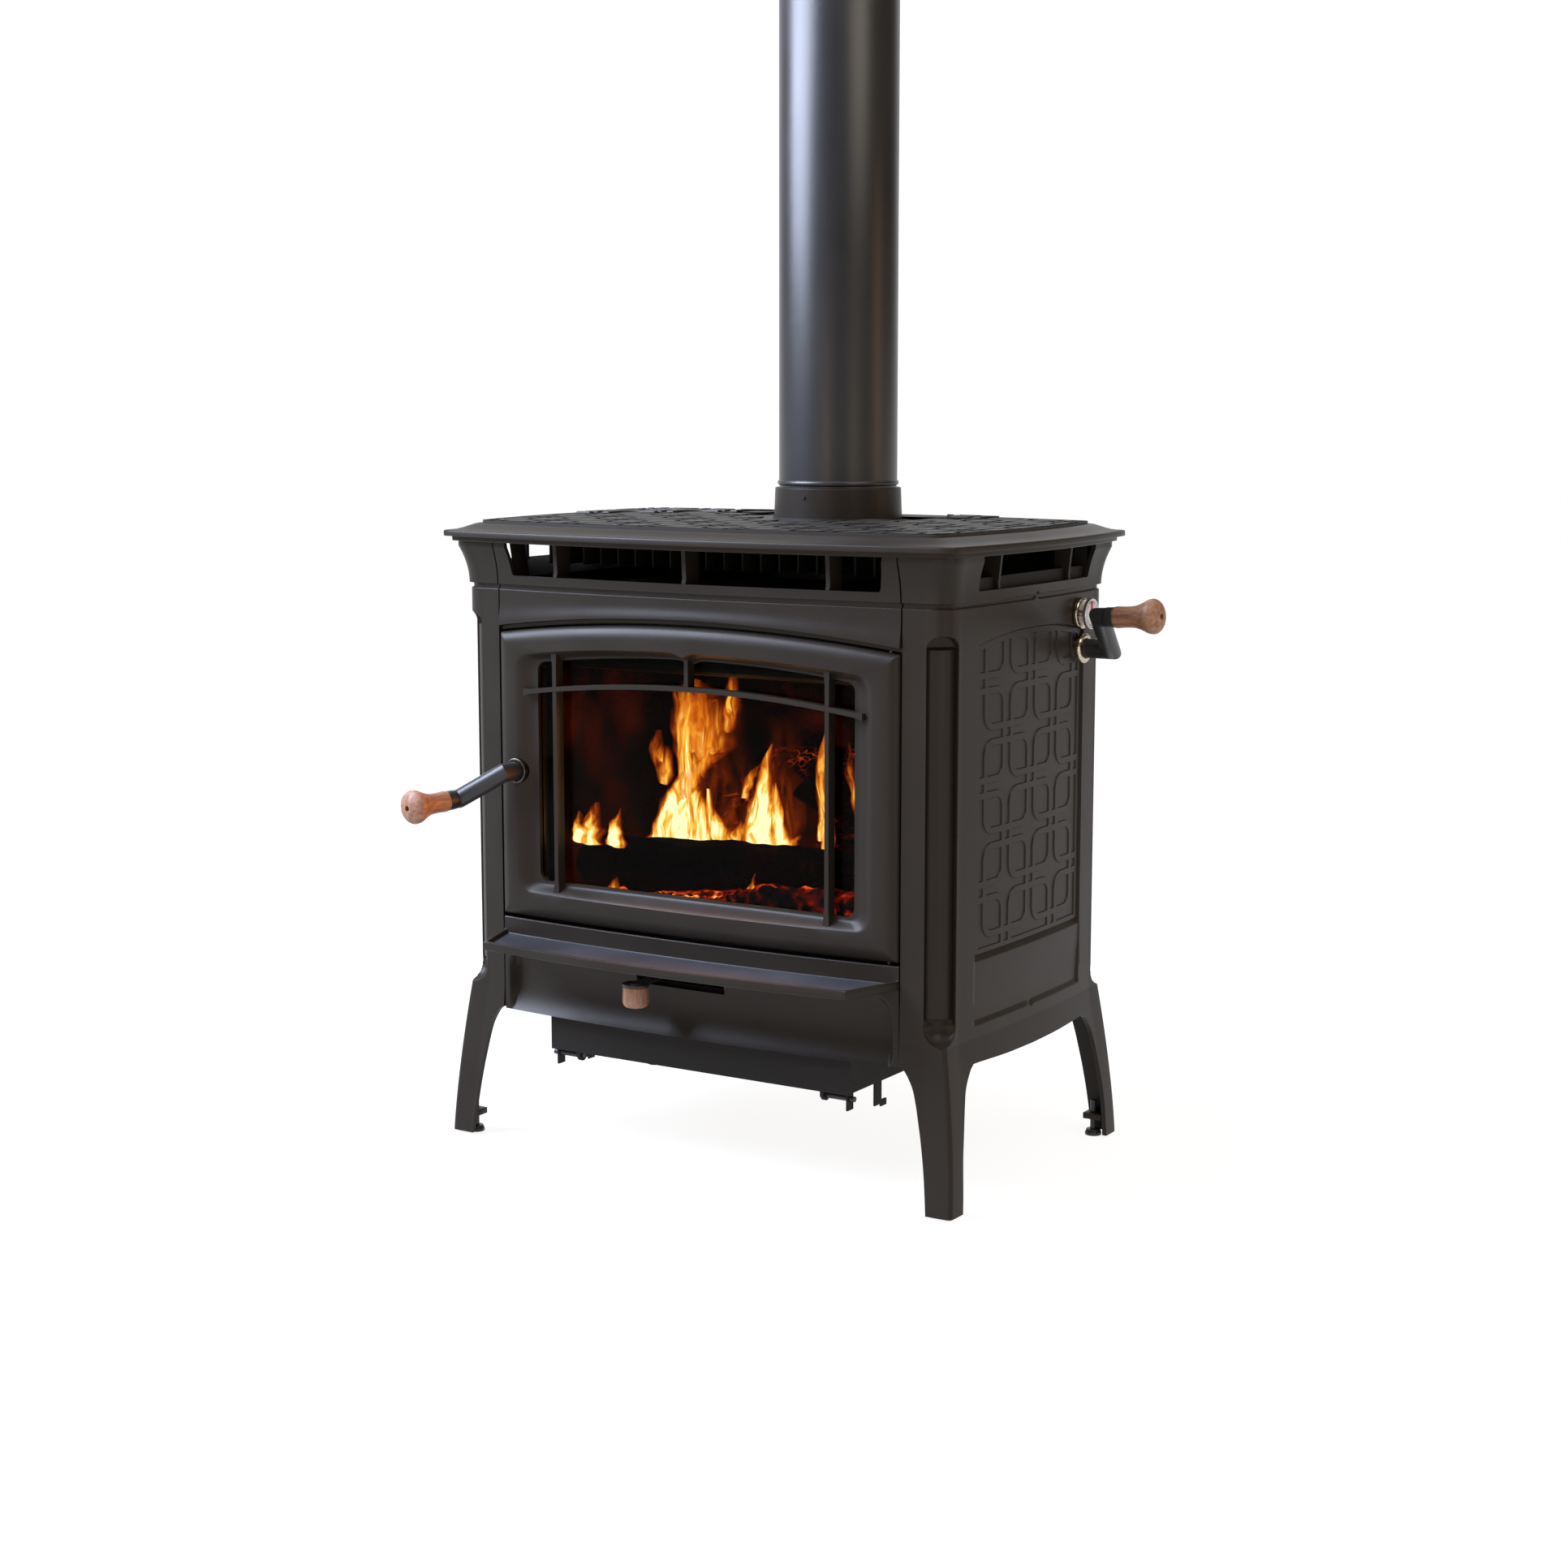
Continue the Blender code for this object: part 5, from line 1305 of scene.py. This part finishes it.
piece("gauge_bush_turned", lathe(GAUGE_BUSH, GAUGE, SIDEWAYS), [NICKEL], "stove", ["gauge_bush"])
DIAL_PROFILE = [
    (0, 0.017), (0.0168, 0.017), (0.0172, 0.0175), (0.0182, 0.0178), (0.019, 0.0175), (0.0192, 0.0168),
    (0.0192, 0.0142), (0.0188, 0.0135), (0.0175, 0.0131), (0.004, 0.0130), (0.004, -0.05), (0, -0.05)
]
dial = lathe(DIAL_PROFILE, GAUGE, SIDEWAYS)
piece("gauge_dial_turned", dial, [DIAL], "stove", ["gauge_dial"])
shape = bmesh.new()
for k in range(25):
    angle = radians(-30 + 10 * k)
    long = 0.0034 if k % 4 == 0 else 0.002
    before = len(shape.verts)
    box_into(shape, (0.0171, -0.00022, 0.0158 - long), (0.01725, 0.00022, 0.0158))
    shape.verts.ensure_lookup_table()
    turn = Matrix.Translation(GAUGE) @ Matrix.Rotation(angle, 4, "X")
    for vert in shape.verts[before:]:
        vert.co = turn @ vert.co
piece("gauge_ticks", shape, [BLACK_STEEL], "stove")


# Air control

# a round pad over the knob, which narrows to a neck that fits the slot of the valance
PAD_R = 0.0168
neck = [(0.0100, -0.2515), (0.0088, -0.2495), (0.0085, -0.2470), (0.0085, -0.1852)]
outline = arc(0, KNOB.y, PAD_R, pi - 0.5, tau + 0.5, 40) + neck + [(-x, y) for x, y in neck[::-1]]
rows = []
for inset, z in ((0.0005, 0), (0, 0.0005), (0, 0.0026), (0.0006, 0.0032)):
    rows.append([(KNOB.x + x * (1 - inset / PAD_R), y, KNOB.z + z) for x, y in outline])
lever = piece("air_lever_strap", loft(rows), [BLACK_STEEL], "air_control", ["air_lever"])
cut(lever, [drill(0.0102, 0.0022, 0.006, KNOB, UP, 48)])
KNOB_PROFILE = [
    (0, 0), (0.0150, 0), (0.0158, -0.0006), (0.0162, -0.002), (0.01625, -0.0188), (0.0160, -0.0208),
    (0.0150, -0.0232), (0.0132, -0.0252), (0.0110, -0.0261), (0, -0.0262)
]
knob = lathe(KNOB_PROFILE, KNOB - UP * JOINT_GAP, UP, 96)
piece("air_knob_turned", knob, [WALNUT], "air_control", ["air_knob"])
SCREW_PROFILE = [(0.0062, 0.0026), (0.0072, 0.0032), (0.0078, 0.0029), (0.008, 0.0021)]
piece("air_knob_screw", lathe(SCREW_PROFILE, KNOB, UP, 40), [NICKEL], "air_control")


# Fire: logs, embers and flames


def log_piece(node, start, end, wide, narrow, seed, material):
    """A log with rough, furrowed bark and uneven cut ends, which thins from wide to narrow."""
    start, end = Vector(start), Vector(end)
    axis = (end - start).normalized()
    across = axis.cross(UP).normalized()
    over = across.cross(axis)
    rings = []
    for t in spread(0, 1, 90):
        radius = wide + (narrow - wide) * t
        taper = 1 - 0.35 * max(0.0, abs(t - 0.5) * 2 - 0.965) / 0.035
        ring = []
        for k in range(72):
            angle = tau * k / 72
            out = across * cos(angle) + over * sin(angle)
            at = start.lerp(end, t) + out * radius
            lump = 1 + 0.12 * sin(seed + 3 * angle) + 0.05 * sin(2 * seed + 7 * t + angle)
            rough = noise.noise(Vector((t * 9 + seed, cos(angle) * 2.2, sin(angle) * 2.2))) * 0.10
            furrow = noise.noise(Vector((t * 26 + seed, angle * 5.4, seed))) * 0.05
            ring.append(at + out * radius * (lump * 0.94 + rough + furrow + taper - 2))
        # the furrows don't meet where the angle starts again, so the last points lean towards the first
        seam = (ring[0] - ring[-1]) * 0.4
        for k in range(1, 7):
            ring[-k] += seam * (1 - k / 7)
        rings.append(ring)
    shape = loft(rings)
    split_caps(shape)
    piece(node + "_bark", shape, [material], "stove", [node], 60)


log_piece("log_front", (-0.227, -0.112, 0.354), (0.21, -0.102, 0.381), 0.038, 0.023, 1.0, CHARRED)
log_piece("log_rear", (-0.19, 0.045, 0.36), (0.2, 0.055, 0.38), 0.046, 0.046, 2.3, GLOWING)
log_piece("log_top", (-0.17, 0.03, 0.452), (0.19, 0.012, 0.47), 0.042, 0.042, 4.1, GLOWING)


def ember_height(x, y):
    lumps = noise.noise(Vector((x * 42, y * 42, 0.3))) * 0.011
    lumps += noise.noise(Vector((x * 110, y * 110, 4.0))) * 0.005
    front = 0.016 * smooth(-0.09, -0.13, y)
    return 0.306 + lumps + front + 0.034 * smooth(-0.05, -0.125, y) * smooth(-0.03, 0.07, x)


bed_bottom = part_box("ember_bed")[0].z
rows = []
for y in spread(-0.158, 0.15, 90):
    rows.append([(x, y, ember_height(x, y)) for x in spread(-0.226, 0.226, 130)])
shape = bmesh.new()
border = ring_of(sheet_of(shape, rows))
base = [shape.verts.new((vert.co.x, vert.co.y, bed_bottom)) for vert in border]
join_rings(shape, border, base)
shape.faces.new(base)
split_caps(shape)
piece("ember_bed_coals", shape, [EMBERS], "stove", ["ember_bed"], 60)


def flame(depth, power, seed, *line):
    """One tongue: a sheet along a line of (x, z, half width)."""
    spine = curve_through(line, 9)
    shares = spread(-1, 1, 22)
    verts, faces, values = [], [], {"across": [], "along": [], "power": []}
    for i, point in enumerate(spine):
        along = i / (len(spine) - 1)
        before = spine[max(0, i - 1)]
        after = spine[min(len(spine) - 1, i + 1)]
        run = Vector((after.x - before.x, after.y - before.y)).normalized()
        half = max(0.0, point.z)
        for u in shares:
            flutter = 1 + 0.22 * noise.noise(Vector((seed, along * 5, u * 0.8)))
            flutter += 0.10 * noise.noise(Vector((seed + 5, along * 14, u)))
            reach = 1.35 * half * u * flutter
            curl = 0.008 * noise.noise(Vector((seed + 9, along * 4, u))) - 0.5 * half * (1 - u * u)
            verts.append((point.x + run.y * reach, depth + curl, point.y - run.x * reach))
        values["across"] += [abs(u) for u in shares]
        values["along"] += [along] * len(shares)
    width = len(shares)
    for i in range(len(spine) - 1):
        for k in range(i * width, i * width + width - 1):
            faces.append((k, k + 1, k + 1 + width, k + width))
    values["power"] = [power] * len(verts)
    return verts, faces, values


# each flame: its depth, power and seed, then x, z and half width at the points along it
FLAMES = [
    # a faint glow behind, and the body of the fire
    (0.0, 0.28, 30.0, (-0.095, 0.36, 0.075), (-0.09, 0.43, 0.06), (-0.085, 0.5, 0.05), (-0.075, 0.6, 0.02)),
    (0.0, 0.3, 31.0, (0.01, 0.36, 0.05), (0.01, 0.43, 0.042), (0.005, 0.5, 0.03), (0.005, 0.55, 0.01)),
    (-0.07, 1.5, 32.0, (-0.1, 0.37, 0.06), (-0.1, 0.4, 0.042), (-0.098, 0.432, 0.02),
     (-0.094, 0.455, 0.004)),
    (-0.06, 0.95, 33.0, (-0.076, 0.49, 0.012), (-0.074, 0.52, 0.036), (-0.078, 0.555, 0.032),
     (-0.084, 0.59, 0.008)),
    # the tall middle flame, its bulb and its wisps
    (-0.075, 1.5, 1.0, (-0.112, 0.375, 0.036), (-0.108, 0.42, 0.03), (-0.096, 0.462, 0.014),
     (-0.088, 0.5, 0.026), (-0.083, 0.545, 0.032), (-0.072, 0.58, 0.01)),
    (-0.088, 1.7, 2.0, (-0.14, 0.375, 0.014), (-0.126, 0.41, 0.012), (-0.106, 0.45, 0.01),
     (-0.095, 0.478, 0.003)),
    (-0.083, 1.6, 3.0, (-0.07, 0.378, 0.018), (-0.074, 0.42, 0.015), (-0.082, 0.46, 0.012),
     (-0.07, 0.49, 0.008), (-0.058, 0.512, 0.002)),
    (-0.062, 1.0, 4.0, (-0.098, 0.5, 0.008), (-0.105, 0.535, 0.02), (-0.098, 0.57, 0.022),
     (-0.09, 0.595, 0.008)),
    (-0.06, 0.85, 5.0, (-0.048, 0.53, 0.006), (-0.04, 0.565, 0.012), (-0.038, 0.59, 0.008),
     (-0.034, 0.615, 0.002)),
    # left, small
    (-0.14, 1.3, 7.0, (-0.222, 0.384, 0.01), (-0.221, 0.404, 0.009), (-0.223, 0.424, 0.001)),
    (-0.135, 1.25, 8.0, (-0.203, 0.382, 0.015), (-0.204, 0.408, 0.014), (-0.196, 0.437, 0.002)),
    (-0.14, 1.7, 9.0, (-0.165, 0.384, 0.012), (-0.163, 0.406, 0.01), (-0.156, 0.433, 0.001)),
    (-0.04, 0.95, 10.0, (-0.16, 0.452, 0.006), (-0.156, 0.475, 0.013), (-0.166, 0.5, 0.012),
     (-0.165, 0.522, 0.003)),
    # the hook and the right flame
    (-0.09, 1.6, 11.0, (-0.056, 0.46, 0.003), (-0.053, 0.43, 0.007), (-0.038, 0.404, 0.011),
     (-0.016, 0.4, 0.01), (0.0, 0.42, 0.006)),
    (-0.08, 1.65, 12.0, (0.022, 0.382, 0.03), (0.024, 0.42, 0.024), (0.024, 0.46, 0.014),
     (0.024, 0.49, 0.008), (0.034, 0.522, 0.002)),
    (-0.07, 1.3, 13.0, (0.002, 0.385, 0.014), (0.006, 0.43, 0.014), (0.014, 0.468, 0.008),
     (0.014, 0.497, 0.002)),
    (-0.086, 1.6, 14.0, (0.056, 0.384, 0.012), (0.048, 0.42, 0.009), (0.044, 0.45, 0.006),
     (0.042, 0.475, 0.001)),
    (-0.05, 0.9, 15.0, (-0.028, 0.445, 0.004), (-0.02, 0.47, 0.006), (-0.004, 0.49, 0.001)),
    # far right
    (-0.09, 1.3, 16.0, (0.118, 0.39, 0.006), (0.122, 0.425, 0.006), (0.114, 0.462, 0.007),
     (0.112, 0.5, 0.007), (0.12, 0.55, 0.002)),
    (-0.06, 0.8, 17.0, (0.15, 0.43, 0.005), (0.142, 0.465, 0.008), (0.134, 0.5, 0.006),
     (0.132, 0.53, 0.001)),
    (-0.05, 1.1, 18.0, (0.088, 0.4, 0.006), (0.09, 0.43, 0.007), (0.086, 0.46, 0.006), (0.088, 0.48, 0.001)),
    (-0.088, 1.0, 19.0, (0.06, 0.39, 0.005), (0.068, 0.4, 0.006), (0.08, 0.412, 0.002)),
    # low, between the log and the coals
    (-0.142, 1.1, 20.0, (-0.176, 0.315, 0.014), (-0.168, 0.325, 0.01), (-0.16, 0.345, 0.001)),
    (-0.138, 1.2, 21.0, (0.035, 0.33, 0.004), (0.04, 0.35, 0.005), (0.044, 0.368, 0.001)),
]
verts, faces, values = [], [], {"across": [], "along": [], "power": []}
for tongue in FLAMES:
    start = len(verts)
    points, quads, numbers = flame(*tongue)
    verts += points
    faces += [tuple(i + start for i in quad) for quad in quads]
    for key in values:
        values[key] += numbers[key]
mesh = bpy.data.meshes.new("flames")
mesh.from_pydata(verts, [], faces)
mesh.materials.append(FLAME)
for key in values:
    mesh.attributes.new(key, "FLOAT", "POINT").data.foreach_set("value", values[key])
flames = bpy.data.objects.new("flames", mesh)
bpy.context.scene.collection.objects.link(flames)
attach(flames, "stove")


# Floor, lights and camera


def area_light(name, place, target, size, energy, colour):
    light = bpy.data.lights.new(name, "AREA")
    light.shape = "RECTANGLE"
    light.size, light.size_y = size
    light.energy = energy
    light.color = colour
    obj = bpy.data.objects.new(name, light)
    obj.location = place
    obj.rotation_euler = (Vector(target) - Vector(place)).to_track_quat("-Z", "Y").to_euler()
    obj.visible_camera = False
    bpy.context.scene.collection.objects.link(obj)


FLOOR_HALF = 300
corners = [(x * FLOOR_HALF, y * FLOOR_HALF, 0) for x, y in ((-1, -1), (1, -1), (1, 1), (-1, 1))]
floor = bpy.data.meshes.new("floor")
floor.from_pydata(corners, [], [(0, 1, 2, 3)])
floor_graph = Graph("pale_floor")
floor_graph.set(Base_Color=(0.12, 0.12, 0.12, 1), Roughness=0.9, Specular_IOR_Level=0.1)
floor_graph.set(Emission_Color=(1.0, 0.995, 0.985, 1), Emission_Strength=0.91)
floor.materials.append(floor_graph.material)
floor = bpy.data.objects.new("floor", floor)
bpy.context.scene.collection.objects.link(floor)

area_light("key", (-2.5, -1.8, 3.1), (0, 0, 0.5), (2.6, 2.6), 640, (0.71, 0.785, 1.0))
area_light("warm_side", (2.7, 1.2, 1.3), (0.3, 0, 0.45), (0.5, 1.5), 9, (1.0, 0.56, 0.28))
area_light("soft_right", (3.3, -1.75, 0.75), (0.2, 0, 0.5), (1.1, 1.8), 14, (1.0, 0.80, 0.60))
area_light("top_right", (2.3, -0.6, 3.0), (0.3, 0, 0.4), (1.5, 1.5), 40, (1.0, 0.9, 0.78))
area_light("warm_front", (0.45, -3.4, 0.7), (0.3, -0.2, 0.45), (0.5, 1.6), 13, (1.0, 0.60, 0.34))
area_light("fire_glow", (-0.01, -0.2138, 0.48), (-0.01, -0.9, 0.5), (0.34, 0.16), 2.2, (1.0, 0.33, 0.07))

world = bpy.data.worlds.new("studio")
world.use_nodes = True
bpy.context.scene.world = world
nodes, links = world.node_tree.nodes, world.node_tree.links
direction = nodes.new("ShaderNodeTexCoord").outputs["Generated"]
colour = None
SKY = [
    # direction, where the blend starts and ends, colour there
    ((0, 0, 1), 0.5, 0.95, (1.15, 1.12, 1.08)),
    ((-0.62, -0.78, 0), 0.3, 0.95, (0.42, 0.43, 0.47)),
    ((-0.53, 0.85, 0), 0.62, 0.9, (1.05, 1.05, 1.05)),
    ((0, 0, -1), -0.06, -0.03, (1.05, 1.05, 1.05)),
]
for axis, start, end, tone in SKY:
    dot = nodes.new("ShaderNodeVectorMath")
    dot.operation = "DOT_PRODUCT"
    links.new(direction, dot.inputs[0])
    dot.inputs[1].default_value = axis
    blend = nodes.new("ShaderNodeMapRange")
    blend.interpolation_type = "SMOOTHSTEP"
    links.new(dot.outputs["Value"], blend.inputs["Value"])
    blend.inputs["From Min"].default_value = start
    blend.inputs["From Max"].default_value = end
    tint = nodes.new("ShaderNodeMix")
    tint.data_type = "RGBA"
    tint.clamp_result = False
    links.new(blend.outputs["Result"], tint.inputs["Factor"])
    if colour:
        links.new(colour, tint.inputs[6])
    else:
        tint.inputs[6].default_value = (0.075, 0.062, 0.05, 1)
    tint.inputs[7].default_value = (*tone, 1)
    colour = tint.outputs[2]
links.new(colour, nodes["Background"].inputs["Color"])

camera = bpy.data.cameras.new("camera")
camera.lens = 61.05
camera.sensor_width = 36
camera = bpy.data.objects.new("camera", camera)
camera.location = (1.7839, -2.856, 0.9574)
camera.rotation_euler = (Vector((0, 0, 0.459)) - camera.location).to_track_quat("-Z", "Y").to_euler()
bpy.context.scene.collection.objects.link(camera)
bpy.context.scene.camera = camera
bpy.context.scene.view_settings.view_transform = "Standard"
